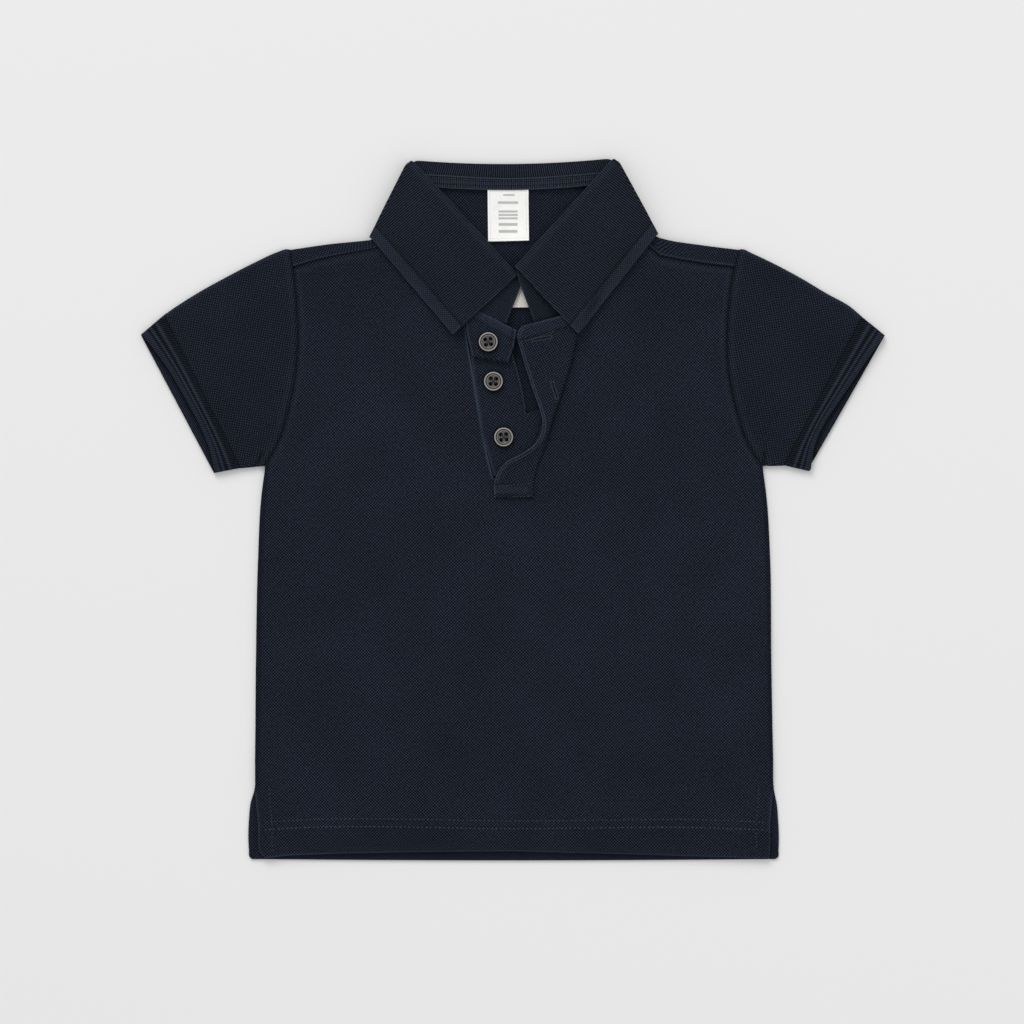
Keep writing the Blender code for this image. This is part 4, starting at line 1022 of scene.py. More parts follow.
LEAF_BELLY = 0.5
COLLAR_TOP_SAG = 2.6    # the fold line at the back dips between its corners
NECK_DIP = 1.0          # and so does the stand's seam
CREASE_FLATTEN = 0.22   # the side creases are pressed flatter than half circles
CORNER_CUT, CORNER_REACH = 1.5, 2.2     # how far the roll's corners are rounded off
STAND_LONGER = 1.07     # the stand tucks in under the placket's top edges
EDGE_BAND = 6.4         # width of the coarse band along the fall's edge
BACK_STAND_Z = RIB / 2 + 2 * COLLAR_FOLD
SIDE_STAND_Z = BACK_STAND_Z + 2 * STAND_RING
REST = PIQUE / 2 + 2 * GAP + RIB / 2
STAND_STEPS = 12
ROLL_STEPS = 12
FALL_STEPS = 84
LEAF_STATIONS = 150
WRAP_STATIONS = 15
BACK_STATIONS = 70

Leaf = namedtuple("Leaf", "fold_front fold_corner edge_front edge_corner fold_z seam_z")
LEAF = {
    -1: Leaf(Point(2.4, 123.4), Point(-53.8, 183.7), Point(-31.3, 92.0), Point(-74.5, 142.9), 3.6, 3.4),
    1: Leaf(Point(1.8, 127.2), Point(53.8, 184.7), Point(34.3, 92.2), Point(75.8, 144.5), 6.9, 4.2),
}
FRONT_BOW = {-1: 3.4, 1: -1.0}  # the stand's front ends bow sideways below the roll


def placket_cover(plan):
    """Extra height of the placket under the leaves' tips."""
    x, y = plan[..., 0], plan[..., 1]
    over_band = 2.9 * ease((43.0 - x) / 8.0) * ease((124.0 - y) / 12.0)
    over_stand = 2.3 * ease((x + 36.0) / 9.0) * ease((122.0 - y) / 12.0)
    return np.where(x > 0, over_band, over_stand)


def knit_relief(to_edge):
    """Raised coarse band along the fall's edge, with a groove on its inner side."""
    groove = hump(to_edge - EDGE_BAND - 0.3, 0.55)
    band = 0.24 * ease((EDGE_BAND - to_edge) / 0.8) - 0.22 * groove
    return band * ease(to_edge / 0.6 + 0.4)


def collar_sections(fold, seam, edge, out, turn, stand_z, seam_z, on_front, bow=0.0):
    """Sections of the strip: seam, stand, roll, fall, edge; turn goes from front 1 to back -1."""
    seam = fold + (seam - fold) * (1 + (STAND_LONGER - 1) * on_front)
    roll = unit(unit(seam - fold) + unit(edge - fold))
    start = fold + roll * COLLAR_FOLD
    stand_width = np.linalg.norm(seam - fold, axis=1)
    fall_width = np.linalg.norm(edge - fold, axis=1)
    spin = turn * math.pi / 2
    sections, across, worn, coarse = [], [], [], []

    def place(plan, top, bottom, reach, tone, knots=0.0):
        radius = (top - bottom) / 2
        flat = plan + out * (CREASE_FLATTEN * radius * np.cos(spin))[:, None]
        sections.append(lift(flat, (top + bottom) / 2 + radius * np.sin(spin)))
        across.append(reach)
        worn.append(tone + 0.0 * reach)
        coarse.append(knots + 0.0 * reach)

    for share in np.linspace(1.0, 0.0, STAND_STEPS + 1)[:-1]:
        top = stand_z + (seam_z - stand_z) * share
        plan = start + (seam - start) * share
        sideways = bow * share / 0.25 * math.exp(1 - share / 0.25) + 0.0 * top
        plan = plan + np.stack([sideways, 0.0 * top], axis=1)
        place(plan, top, BACK_STAND_Z + 0.0 * top, -stand_width * share, 0.02, on_front)
    for bend in np.linspace(0.0, math.pi, ROLL_STEPS + 1):
        rise = COLLAR_FOLD * (1 - math.cos(bend))
        plan = start - roll * COLLAR_FOLD * math.sin(bend)
        reach = COLLAR_FOLD * bend + 0.0 * stand_width
        pale = 0.10 * on_front - 0.55 * (1 - on_front)
        place(plan, stand_z + rise, BACK_STAND_Z - rise + 0.0 * stand_z, reach, pale * math.sin(bend))
    for share in np.linspace(0.0, 1.0, FALL_STEPS + 1)[1:]:
        settle = ease((share * fall_width - stand_width - 3.0) / (fall_width - stand_width - 6.0))
        plan = start + (edge - start) * share
        rest = front_height(plan) + REST + placket_cover(plan) + LEAF_BELLY * np.sin(math.pi * settle)
        fold_top = stand_z + 2 * COLLAR_FOLD
        to_edge = (1.0 - share) * fall_width
        top = fold_top + (rest - fold_top) * settle * on_front + knit_relief(to_edge)
        in_band = ease((EDGE_BAND - to_edge) / 0.6)
        groove = hump(to_edge - EDGE_BAND - 0.3, 0.6)
        tone = 0.10 * math.exp(-((share / 0.04) ** 2)) + 0.12 * in_band
        # Painted shade darkens the groove inside the coarse band.
        tone = tone - 0.50 * groove + 0.12 * hump(to_edge, 0.6)
        place(plan, top, RIB / 2 + 0.0 * top, COLLAR_FOLD * math.pi + share * fall_width, tone, in_band)
    return np.stack(sections), np.stack(across), np.stack(worn), np.stack(coarse)


def leaf_half(side):
    """One leaf from its front end to the side crease, then round the crease to the back."""
    leaf = LEAF[side]
    fold = smooth_line([leaf.fold_front, leaf.fold_corner], LEAF_STATIONS)
    edge = smooth_line([leaf.edge_front, leaf.edge_corner], LEAF_STATIONS)
    seam = smooth_line(COLLAR_SEAM[side], LEAF_STATIONS)[::-1]
    crease = np.array(leaf.edge_corner) - np.array(leaf.fold_corner)
    out = unit(np.array([crease[1], -crease[0]]) * -side)
    share = ease(np.linspace(0.0, 1.0, LEAF_STATIONS) * 1.25)
    stand_z = leaf.fold_z + (SIDE_STAND_Z - leaf.fold_z) * share
    seam_z = leaf.seam_z + (SIDE_STAND_Z - leaf.seam_z) * share
    turn = np.ones(LEAF_STATIONS)
    round_turn = np.linspace(1.0, -1.0, WRAP_STATIONS + 1)[1:]
    last = np.full(WRAP_STATIONS, LEAF_STATIONS - 1)
    order = np.concatenate([np.arange(LEAF_STATIONS), last])
    bow = FRONT_BOW[side] * np.exp(-order / (0.10 * LEAF_STATIONS))
    return collar_sections(
        fold[order], seam[order], edge[order], out, np.concatenate([turn, round_turn]),
        stand_z[order], seam_z[order], 1.0, bow,
    )


share = np.linspace(0.0, 1.0, BACK_STATIONS + 1)[1:-1, None]
back_lines = []
for first, last, dip in (
    (LEAF[-1].fold_corner, LEAF[1].fold_corner, COLLAR_TOP_SAG),
    (COLLAR_SEAM[-1][0], COLLAR_SEAM[1][0], NECK_DIP),
    (LEAF[-1].edge_corner, LEAF[1].edge_corner, 0.0),
):
    line = np.array(first) * (1 - share) + np.array(last) * share
    line[:, 1] -= dip * 4 * (share * (1 - share))[:, 0]
    back_lines.append(line)
level = np.full(BACK_STATIONS - 1, SIDE_STAND_Z)
turned_under = np.full(BACK_STATIONS - 1, -1.0)
middle = collar_sections(*back_lines, np.array([0.0, 1.0]), turned_under, level, level, 0.0)
halves = [leaf_half(-1), middle, tuple(part[:, ::-1] for part in leaf_half(1))]
points, across, worn, coarse = (np.concatenate([half[k] for half in halves], axis=1) for k in range(4))
for side, inward in ((-1, (0.55, -0.84)), (1, (-0.55, -0.84))):
    to_corner = np.linalg.norm(points[..., :2] - np.array(LEAF[side].fold_corner), axis=2)
    points[..., :2] += CORNER_CUT * hump(to_corner, CORNER_REACH)[..., None] * np.array(inward)
stand_rows = STAND_STEPS + ROLL_STEPS // 2
along = gone(points[stand_rows])
worn = worn + 0.15 * (hump(along, 0.7) + hump(along[-1] - along, 0.7))[None, :]
along = np.broadcast_to(along[None, :], across.shape)
grain = np.stack([along, across], axis=-1)
LEAF_COLUMNS = {
    -1: slice(0, LEAF_STATIONS + WRAP_STATIONS),
    1: slice(-LEAF_STATIONS - WRAP_STATIONS, None),
}
for side, columns in LEAF_COLUMNS.items():
    ribs = unit(np.array(LEAF[side].edge_corner) - np.array(LEAF[side].edge_front))
    grain[:, columns, 0] = points[:, columns, :2] @ ribs
    grain[:stand_rows, columns] = points[:stand_rows, columns, :2]
collar_rib = rib_finish(
    "washed navy rib, collar", (0.0018, 0.0024, 0.0042), (0.0300, 0.0375, 0.0600), NAVY_WEAR_AND_HIGHLIGHT, 1.12,
    coarse_pitch=1.5,
)
collar = lay_sheet("collar_knit", [Lay(points, grain, worn, coarse)], RIB, collar_rib)
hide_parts("collar")
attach(collar, "root")

# ---------------------------------------------------------------------------------------------
# Neck tape and labels
# A cotton tape covers the back neck seam and is stitched down along both of its edges. A white
# woven size label hangs from it, with plain bars only, and a cream care label lies lower down.

TAPE = 1.0
TAPE_UPPER = [Point(-51.5, 176.8), Point(0.0, 174.4), Point(51.9, 177.7)]
TAPE_LOWER = [Point(-51.5, 170.2), Point(-14.0, 168.3), Point(9.0, 168.4), Point(51.9, 171.4)]
TAPE_STITCH = 1.5       # from the tape's edges to its stitch rows
TAPE_ROWS, TAPE_COLUMNS = 26, 130
SATIN_PITCH = 0.42      # of the labels' weave
tape_tone = (0.0016, 0.0022, 0.0036)
cotton_tape = rib_finish("washed navy cotton tape", tape_tone, (0.0420, 0.0520, 0.0790), NAVY_WEAR_AND_HIGHLIGHT, 1.0)

tape_upper = smooth_line(TAPE_UPPER, TAPE_COLUMNS + 1)
tape_lower = smooth_line(TAPE_LOWER, TAPE_COLUMNS + 1)
v = np.linspace(0.0, 1.0, TAPE_ROWS + 1)[:, None]
tape_plan = tape_lower[None] * (1 - v[..., None]) + tape_upper[None] * v[..., None]
tape_width = np.linalg.norm(tape_upper - tape_lower, axis=1)[None, :]
to_low, to_high = v * tape_width, (1 - v) * tape_width
welts = 0.16 * (hump(to_low - 0.5, 0.5) + hump(to_high - 0.5, 0.5))
seams = 0.22 * (hump(to_low - TAPE_STITCH, 0.45) + hump(to_high - TAPE_STITCH, 0.45))
ripple = 0.06 * np.sin(tape_plan[..., 0] / 2.3 + 1.4 * np.sin(tape_plan[..., 0] / 7.0))
belly = 0.18 * hump(v - 0.5, 0.22) * (1 + ripple)
height = BACK_STAND_Z + RIB / 2 + GAP + TAPE / 2 + welts - seams + belly
worn = 0.50 * (hump(to_low, 0.55) + hump(to_high, 0.55)) + 0.10 * hump(v - 0.5, 0.2)
# Painted shade along the sunk stitch rows.
worn = worn - 0.7 * (hump(to_low - TAPE_STITCH, 0.6) + hump(to_high - TAPE_STITCH, 0.7))
tape = lay_sheet("neck_tape_cloth", [Lay(lift(tape_plan, height), tape_plan, worn)], TAPE, cotton_tape, 0.2)
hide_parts("neck_tape")
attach(tape, "root")

Label = namedtuple("Label", "name node slot corners rows columns")
LABELS = [
    Label("size_label", "neck_label", "white_label",
          [Point(-13.2, 168.9), Point(8.4, 169.1), Point(8.7, 141.5), Point(-12.9, 141.0)], 110, 86),
    Label("fibre_label", "care_label", "cream_label",
          [Point(-11.0, 119.0), Point(19.0, 119.0), Point(19.0, 106.4), Point(-11.0, 106.4)], 24, 60),
]
Bar = namedtuple("Bar", "left right low high")      # woven plain bars, no lettering
LABEL_BARS = [
    Bar(-4.9, 1.1, 165.1, 166.0),
    Bar(-7.8, 3.0, 160.9, 162.2),
    Bar(-7.4, 2.7, 156.3, 157.4),
    Bar(-7.4, 2.7, 154.5, 155.6),
    Bar(-7.4, 2.7, 152.7, 153.8),
    Bar(-7.3, 2.6, 149.3, 150.8),
    Bar(-7.3, 2.6, 145.6, 147.1),
]
satin = {
    "white_label": rib_finish(
        "white woven satin", (0.90, 0.895, 0.875), (0.97, 0.965, 0.95), (0.98, 0.98, 0.97), SATIN_PITCH,
    ),
    "cream_label": rib_finish(
        "cream woven satin", (0.62, 0.59, 0.53), (0.74, 0.71, 0.65), (0.8, 0.78, 0.72), SATIN_PITCH,
    ),
}
for label in LABELS:
    top_right, top_left, low_left, low_right = (np.array(c) for c in label.corners)
    u = np.linspace(0.0, 1.0, label.columns + 1)[None, :, None]
    v = np.linspace(0.0, 1.0, label.rows + 1)[:, None, None]
    plan = (low_right * (1 - u) + low_left * u) * (1 - v) + (top_right * (1 - u) + top_left * u) * v
    border = np.concatenate([plan[0], plan[1:, -1], plan[-1, -2::-1], plan[-2::-1, 0]])
    to_border = distance_to(plan, border)
    curl = 0.25 * np.exp(-(plan[..., 1] - plan[0, 0, 1]) / 3.0)
    height = back_height(plan) + LAYER + 0.10 * ease((1.0 - to_border) / 0.5) + curl
    worn = -0.14 * hump(to_border - 1.2, 0.35)
    if label.name == "size_label":
        x, y = plan[..., 0], plan[..., 1]
        for bar in LABEL_BARS:
            across = ease((x - bar.left) / 0.3 + 0.5) * ease((bar.right - x) / 0.3 + 0.5)
            worn -= 0.62 * across * ease((y - bar.low) / 0.3 + 0.5) * ease((bar.high - y) / 0.3 + 0.5)
    piece = lay_sheet(label.name, [Lay(lift(plan, height), plan, worn)], TAPE, satin[label.slot], 0.2)
    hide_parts(label.node)
    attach(piece, "root")

# ---------------------------------------------------------------------------------------------
# Tape stitching
# One row of the same thread close to each edge of the neck tape, sewn through the collar's
# stand below it.

sew("tape_stitching", [
    Row(tape, 1.7, 1.25, 0.40, tape_lower + np.array([0.0, TAPE_STITCH])),
    Row(tape, 1.7, 1.25, 0.40, tape_upper - np.array([0.0, TAPE_STITCH])),
])

# ---------------------------------------------------------------------------------------------
# Button stand
# The under strip of the placket, a band of the same pique sewn to the wearer's right of the
# slit. Below the top button it has slipped into a fold, so three layers lie there.

StandRow = namedtuple("StandRow", "seam_x seam_y free_x free_y z")
BUTTON_STAND = [
    StandRow(-9.9, 17.4, 9.8, 17.4, 0.0),
    StandRow(-12.0, 25.0, 10.4, 29.0, 0.0),
    StandRow(-14.2, 32.6, 15.6, 43.0, 0.0),
    StandRow(-15.4, 36.2, 16.0, 51.0, 0.0),
    StandRow(-15.7, 37.2, 14.2, 51.9, 0.0),
    StandRow(-15.9, 38.0, 11.0, 51.4, 0.0),
    StandRow(-16.1, 38.8, 7.8, 50.3, 0.0),
    StandRow(-17.0, 46.0, 6.7, 54.4, 0.0),
    StandRow(-18.4, 55.6, 5.6, 60.6, 0.0),
    StandRow(-20.6, 69.0, 3.3, 70.6, 0.0),
    StandRow(-22.6, 86.6, -0.6, 83.6, 0.0),
]
STAND_LOWER_END = StandRow(-22.6, 86.6, -0.6, 83.6, 0.0)
STAND_FOLD_EDGE = StandRow(-20.6, 81.4, -2.3, 78.0, 2 * LAYER)
STAND_TOP = [
    StandRow(-21.4, 81.4, -2.3, 78.0, 2 * LAYER),
    StandRow(-24.2, 93.0, 0.6, 86.2, 2 * LAYER - 0.2),
    StandRow(-24.9, 108.4, 1.9, 94.2, 0.3),
]
BUTTON_SPOTS = [Point(-12.8, 87.9), Point(-10.1, 67.3), Point(-4.7, 37.9)]
STAND_EDGE_ROW = 1.6    # from the strip's free edge to the dent of its stitching
STAND_COLUMNS = 60
FOLD_TURN_STEPS = 8


def table_rows(rows, count):
    """The table's rows joined by a smooth run with the given number of rows."""
    return smooth_line([tuple(row) for row in rows], count)


def turned(row, low, up):
    """Half circle where the strip doubles back along its length."""
    made = []
    for angle in np.linspace(0.0, math.pi, FOLD_TURN_STEPS + 1)[1:-1]:
        shift = LAYER / 2 * math.sin(angle) * (1 if up else -1)
        rise = low + LAYER / 2 * (1 - math.cos(angle))
        made.append((row.seam_x, row.seam_y + shift, row.free_x, row.free_y + shift, rise))
    return np.array(made)


between = table_rows([STAND_LOWER_END._replace(z=LAYER), STAND_FOLD_EDGE._replace(z=LAYER)], 10)
stand_rows = np.concatenate([
    table_rows(BUTTON_STAND, 120),
    turned(STAND_LOWER_END, 0.0, True),
    between,
    turned(STAND_FOLD_EDGE, LAYER, False),
    table_rows(STAND_TOP, 50),
])
u = np.linspace(0.0, 1.0, STAND_COLUMNS + 1)[None, :, None]
plan = stand_rows[:, None, 0:2] * (1 - u) + stand_rows[:, None, 2:4] * u
width = np.linalg.norm(stand_rows[:, 2:4] - stand_rows[:, 0:2], axis=1)[:, None]
to_free = (1 - u[..., 0]) * width
to_seam = u[..., 0] * width
height = front_height(plan) + stand_rows[:, 4:5] - 0.10 * hump(to_free - STAND_EDGE_ROW, 0.5)
top_end = np.linalg.norm(plan - plan[-1:], axis=2)
on_top = np.arange(len(stand_rows))[:, None] > len(stand_rows) - 50
height += 0.18 * ease((5.0 - top_end) / 0.8) * on_top
to_button = np.minimum.reduce([np.linalg.norm(plan - np.array(spot), axis=2) for spot in BUTTON_SPOTS])
height -= 0.18 * ease((6.4 - to_button) / 1.6)
# Painted shadow: a dark ring on the cloth round each button.
worn = -0.85 * hump(to_button - 5.2, 0.75)
worn += 0.22 * hump(to_free, 0.8) - 0.30 * hump(to_free - STAND_EDGE_ROW, 0.5) + 0.25 * hump(to_seam, 1.0)
top_worn = 0.30 * hump(top_end, 1.0) + 0.08 * ease((5.4 - top_end) / 1.0) - 0.3 * hump(top_end - 5.8, 0.5)
worn += on_top * top_worn
stand = lay_sheet("button_stand", [Lay(lift(plan, height), slanted(plan, -10.0), worn)], PIQUE, body_pique)
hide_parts("placket_button")
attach(stand, "root")

# ---------------------------------------------------------------------------------------------
# Buttonhole band
# The upper strip of the placket, thrown open: its free edge swings over to the wearer's left and
# back at the foot, where it is stitched down in a box. Two buttonholes show, one across the top
# and one along the strip.

BandRow = namedtuple("BandRow", "free_x free_y free_z roll_x roll_y roll_z curl tuck")
BAND = [
    BandRow(-9.3, 6.2, 0.0, 10.6, 6.2, 0.0, 0.0, 0.4),
    BandRow(-9.6, 13.2, 0.1, 10.5, 13.2, 0.0, 0.0, 0.4),
    BandRow(-8.2, 18.4, 0.5, 11.2, 17.6, -0.2, 0.0, 0.4),
    BandRow(-3.4, 24.6, 1.2, 12.4, 22.6, -0.1, 0.0, 0.4),
    BandRow(4.6, 28.9, 1.8, 13.8, 26.6, 0.2, 0.0, 0.4),
    BandRow(9.4, 32.0, 2.3, 15.6, 30.2, 0.8, 0.25, 0.4),
    BandRow(12.9, 35.6, 2.6, 17.0, 34.6, 1.8, 0.5, 0.15),
    BandRow(15.2, 40.4, 2.6, 18.9, 40.2, 2.1, 0.75, 0.2),
    BandRow(15.9, 45.6, 2.5, 20.6, 45.4, 1.8, 1.0, 1.0),
    BandRow(14.4, 52.4, 2.2, 22.8, 52.2, 1.8, 1.0, 2.4),
    BandRow(11.4, 60.8, 1.9, 25.6, 60.6, 1.8, 1.0, 3.4),
    BandRow(8.2, 70.6, 1.7, 28.7, 70.4, 1.7, 1.0, 4.2),
    BandRow(5.2, 80.4, 1.5, 31.4, 80.2, 1.8, 1.0, 4.6),
    BandRow(2.6, 91.4, 1.2, 33.6, 91.0, 1.9, 1.0, 4.0),
    BandRow(5.0, 96.2, 0.6, 32.6, 103.6, 2.1, 1.0, 3.4),
]
Slot = namedtuple("Slot", "x0 y0 x1 y1")
BUTTONHOLES = [Slot(11.2, 88.9, 19.8, 90.5), Slot(21.0, 66.2, 23.3, 58.6)]
BAND_CROWN = 0.25       # the strip bows up between its edges
BAND_ROLL_LENGTH = 2.6  # length of cloth in the roll along it
BAND_EDGE_ROW = 0.78    # from the free edge to its stitch row
BAND_TOP_ROW = 7.0      # from the top to the row across it
BOX_HIGH_ROW, BOX_LOW_ROW = 6.8, 0.9    # the box's rows above the foot
BAND_ROWS = 170
BAND_COLUMNS = 70
TUCK_STEPS = 4

rows = table_rows(BAND, BAND_ROWS + 1)
free, roll = rows[:, 0:2], rows[:, 3:5]
run = unit(roll - free)
bend = np.maximum(math.pi * rows[:, 6], 0.02)
radius = BAND_ROLL_LENGTH / bend
reach = radius * np.sin(np.minimum(bend, math.pi / 2)) + PIQUE / 2 * rows[:, 6]
flat_end = roll - run * reach[:, None]
tuck = rows[:, 7]
columns = []
for share in np.linspace(0.0, 1.0, BAND_COLUMNS + 1):
    plan = free + (flat_end - free) * share
    rise = rows[:, 2] * (1 - share) + rows[:, 5] * share + BAND_CROWN * math.sin(math.pi * share)
    columns.append(lift(plan, front_height(plan) + LAYER + rise))
flat_top = columns[-1][:, 2]
for share in np.linspace(0.0, 1.0, FOLD_STEPS + 1)[1:]:
    angle = bend * share
    plan = flat_end + run * (radius * np.sin(angle))[:, None]
    columns.append(lift(plan, flat_top - radius * (1 - np.cos(angle))))
for share in np.linspace(0.0, 1.0, TUCK_STEPS + 1)[1:]:
    plan = columns[BAND_COLUMNS + FOLD_STEPS][:, :2] + run * (tuck * share * np.cos(bend))[:, None]
    columns.append(lift(plan, columns[BAND_COLUMNS + FOLD_STEPS][:, 2] - tuck * share * np.sin(bend)))
points = np.stack(columns, axis=1)
from_free = gone(points, 1)
free_line = points[:, 0, :2]
to_free = distance_to(points[..., :2], free_line)
to_free = np.where(from_free > 30.0, 99.0, np.minimum(to_free, from_free))
to_top = distance_to(points[..., :2], points[-1, : BAND_COLUMNS + 1, :2])
to_foot = points[..., 1] - points[0, 0, 1]
flat = np.arange(points.shape[1])[None, :] <= BAND_COLUMNS
height = -0.16 * hump(to_free - 0.75, 0.28) - 0.16 * hump(to_top - BAND_TOP_ROW, 0.4) * (from_free > 1.5)
height -= (0.14 * hump(to_foot - BOX_HIGH_ROW, 0.45) + 0.14 * hump(to_foot - BOX_LOW_ROW, 0.4))
height += 0.20 * ease((BAND_TOP_ROW - to_top) / 0.8)
to_hole = np.full(points.shape[:2], 99.0)
for slot_ends in BUTTONHOLES:
    to_hole = np.minimum(to_hole, distance_to(points[..., :2], [slot_ends[:2], slot_ends[2:]]))
height -= 0.45 * hump(to_hole, 0.35)
points[..., 2] += height * flat
above_box = ease((to_foot - 7.0) / 3.0)
worn = 0.75 * hump(to_free, 0.30) + 0.45 * above_box * hump(to_free - 1.40, 0.26)
worn -= 0.80 * above_box * hump(to_free - BAND_EDGE_ROW, 0.30)
worn += 0.30 * hump(to_top, 0.8) - 0.45 * hump(to_top - BAND_TOP_ROW, 0.55) * (from_free > 1.5)
worn += 0.05 * ease((BAND_TOP_ROW - to_top) / 0.8)
worn -= 0.50 * (hump(to_foot - BOX_HIGH_ROW, 0.5) + hump(to_foot - BOX_LOW_ROW, 0.45))
worn += 0.10 * hump(to_foot - 3.8, 2.0)
# Painted shade: the buttonhole slits are painted near black.
worn = np.where(to_hole < 1.2, np.minimum(worn, 0.0) - 1.3 * hump(to_hole, 0.45), worn)
worn *= flat
grain = slanted(free[:, None] + run[:, None] * from_free[..., None], 14.0)
band = lay_sheet("buttonhole_band", [Lay(points, grain, worn)], PIQUE, body_pique)
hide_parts("placket_top")
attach(band, "root")

# ---------------------------------------------------------------------------------------------
# Placket stitching
# One row close to the band's free edge, one across its top, two across the foot that box it down,
# and close satin stitches round both buttonholes, with a bar tack at each of their ends.

TOP_ROW = [Point(4.2, 88.0), Point(9.9, 89.3), Point(22.6, 93.9)]
BOX_ROWS = [
    [Point(-7.6, 12.0), Point(10.0, 13.6)],
    [Point(-7.8, 5.8), Point(9.8, 6.9)],
]
HOLE_BORDER = 0.72      # from the slot to the middle of its satin stitches
placket_rows = [
    Row(band, 1.6, 1.0, 0.26, free_line[14:-4] + unit(roll[14:-4] - free_line[14:-4]) * BAND_EDGE_ROW),
    Row(band, 1.7, 1.2, 0.42, smooth_line(TOP_ROW, 40)),
]
for ends in BOX_ROWS:
    placket_rows.append(Row(band, 1.9, 1.2, 0.36, smooth_line(ends, 30)))
sew("placket_stitching", placket_rows)

hole_rows = []
for slot_ends in BUTTONHOLES:
    first, last = np.array(slot_ends[:2]), np.array(slot_ends[2:])
    run = unit(last - first)
    aside = np.array([-run[1], run[0]]) * HOLE_BORDER
    for way in (-1, 1):
        line = np.linspace(first - run * 0.4, last + run * 0.4, 20) + aside * way
        hole_rows.append(Row(band, 0.42, 0.95, 0.40, line, True))
    for end, way in ((first, -1), (last, 1)):
        bar = end + run * way * 0.75
        tack = np.linspace(bar - aside * 1.3, bar + aside * 1.3, 8)
        hole_rows.append(Row(band, 0.42, 1.1, 0.42, tack, True))
dark_thread = navy_thread.copy()
dark_thread.name = "dark navy sewing thread"
twist = [node for node in dark_thread.node_tree.nodes if node.type == "VALTORGB"][0]
set_tones(twist, ((0.0040, 0.0052, 0.0090), (0.0230, 0.0300, 0.0450)))
sew("buttonhole_stitching", hole_rows, dark_thread)

# ---------------------------------------------------------------------------------------------
# Buttons
# Three moulded buttons of cloudy grey horn resin, 10 mm across, with a rounded rim, a groove and
# a dished middle with four holes. Each is sewn to the button stand by a cross of navy thread.

BUTTON_RADIUS = 5.0
BUTTON_WALL = 1.55      # height of the outer wall below the rim
BUTTON_FACES = 64
HOLE_OFFSET, HOLE_RADIUS = 1.38, 1.06
Button = namedtuple("Button", "name x y lift turn")
BUTTONS = [
    Button("button_1", *BUTTON_SPOTS[0], 2 * LAYER, 0.12),
    Button("button_2", *BUTTON_SPOTS[1], 0.0, -0.05),
    Button("button_3", *BUTTON_SPOTS[2], 0.0, 0.06),
]
Ring = namedtuple("Ring", "radius height")
BUTTON_RINGS = [
    Ring(4.92, 1.84), Ring(4.74, 2.06), Ring(4.52, 2.15), Ring(4.32, 2.06), Ring(4.16, 1.82),
    Ring(4.04, 1.48), Ring(3.80, 1.44), Ring(3.68, 1.74), Ring(3.48, 1.88), Ring(3.22, 1.84),
    Ring(3.02, 1.52), Ring(2.80, 1.34),
]

horn = new_finish("cloudy grey horn resin", {"Specular IOR Level": 0.35})
tree = horn.node_tree
where = add_node(tree, "TexCoord").outputs["Object"]
cloud = add_node(tree, "TexNoise", {"Scale": 330.0, "Detail": 4.0, "Distortion": 1.8, "Vector": where})
cloudy = add_node(tree, "ValToRGB", {"Fac": cloud.outputs["Fac"]})
cloudy.color_ramp.elements[0].position = 0.32
cloudy.color_ramp.elements[1].position = 0.70
set_tones(cloudy, ((0.036, 0.034, 0.030), (0.092, 0.087, 0.077)))
rubbed_and_shaded = add_node(tree, "Attribute", attribute_name="worn").outputs["Fac"]
pale = {"B": (0.330, 0.315, 0.285), "Factor": rubbed_and_shaded, "A": cloudy.outputs["Color"]}
rubbed_mix = add_node(tree, "Mix", pale, data_type="RGBA").outputs["Result"]
# Darker in the groove, and painted shade down the holes' walls.
darker_in_groove_and_holes = add_node(tree, "Math", {0: rubbed_and_shaded, 1: 0.85, 2: 1.0}, operation="MULTIPLY_ADD", use_clamp=True)
shade = {"Vector": rubbed_mix, "Scale": darker_in_groove_and_holes.outputs["Value"]}
colour = add_node(tree, "VectorMath", shade, operation="SCALE").outputs["Vector"]
fill(tree, tree.nodes["Principled BSDF"], {"Base Color": colour})
scuffs = add_node(tree, "TexNoise", {"Scale": 2600.0, "Detail": 3.0, "Vector": where}).outputs["Fac"]
surface(tree, scuffs, (0.38, 0.66), scuffs, 0.25, 0.04)


def pick_faces(piece, wanted):
    """Selects the faces whose centre and normal pass a test, in edit mode."""
    bpy.ops.object.mode_set(mode="OBJECT")
    for face in piece.data.polygons:
        face.select = wanted(face)
    bpy.ops.object.mode_set(mode="EDIT")


def button_base(button):
    plan = np.array([button.x, button.y])
    return float(front_height(plan)) + button.lift + PIQUE / 2 + GAP


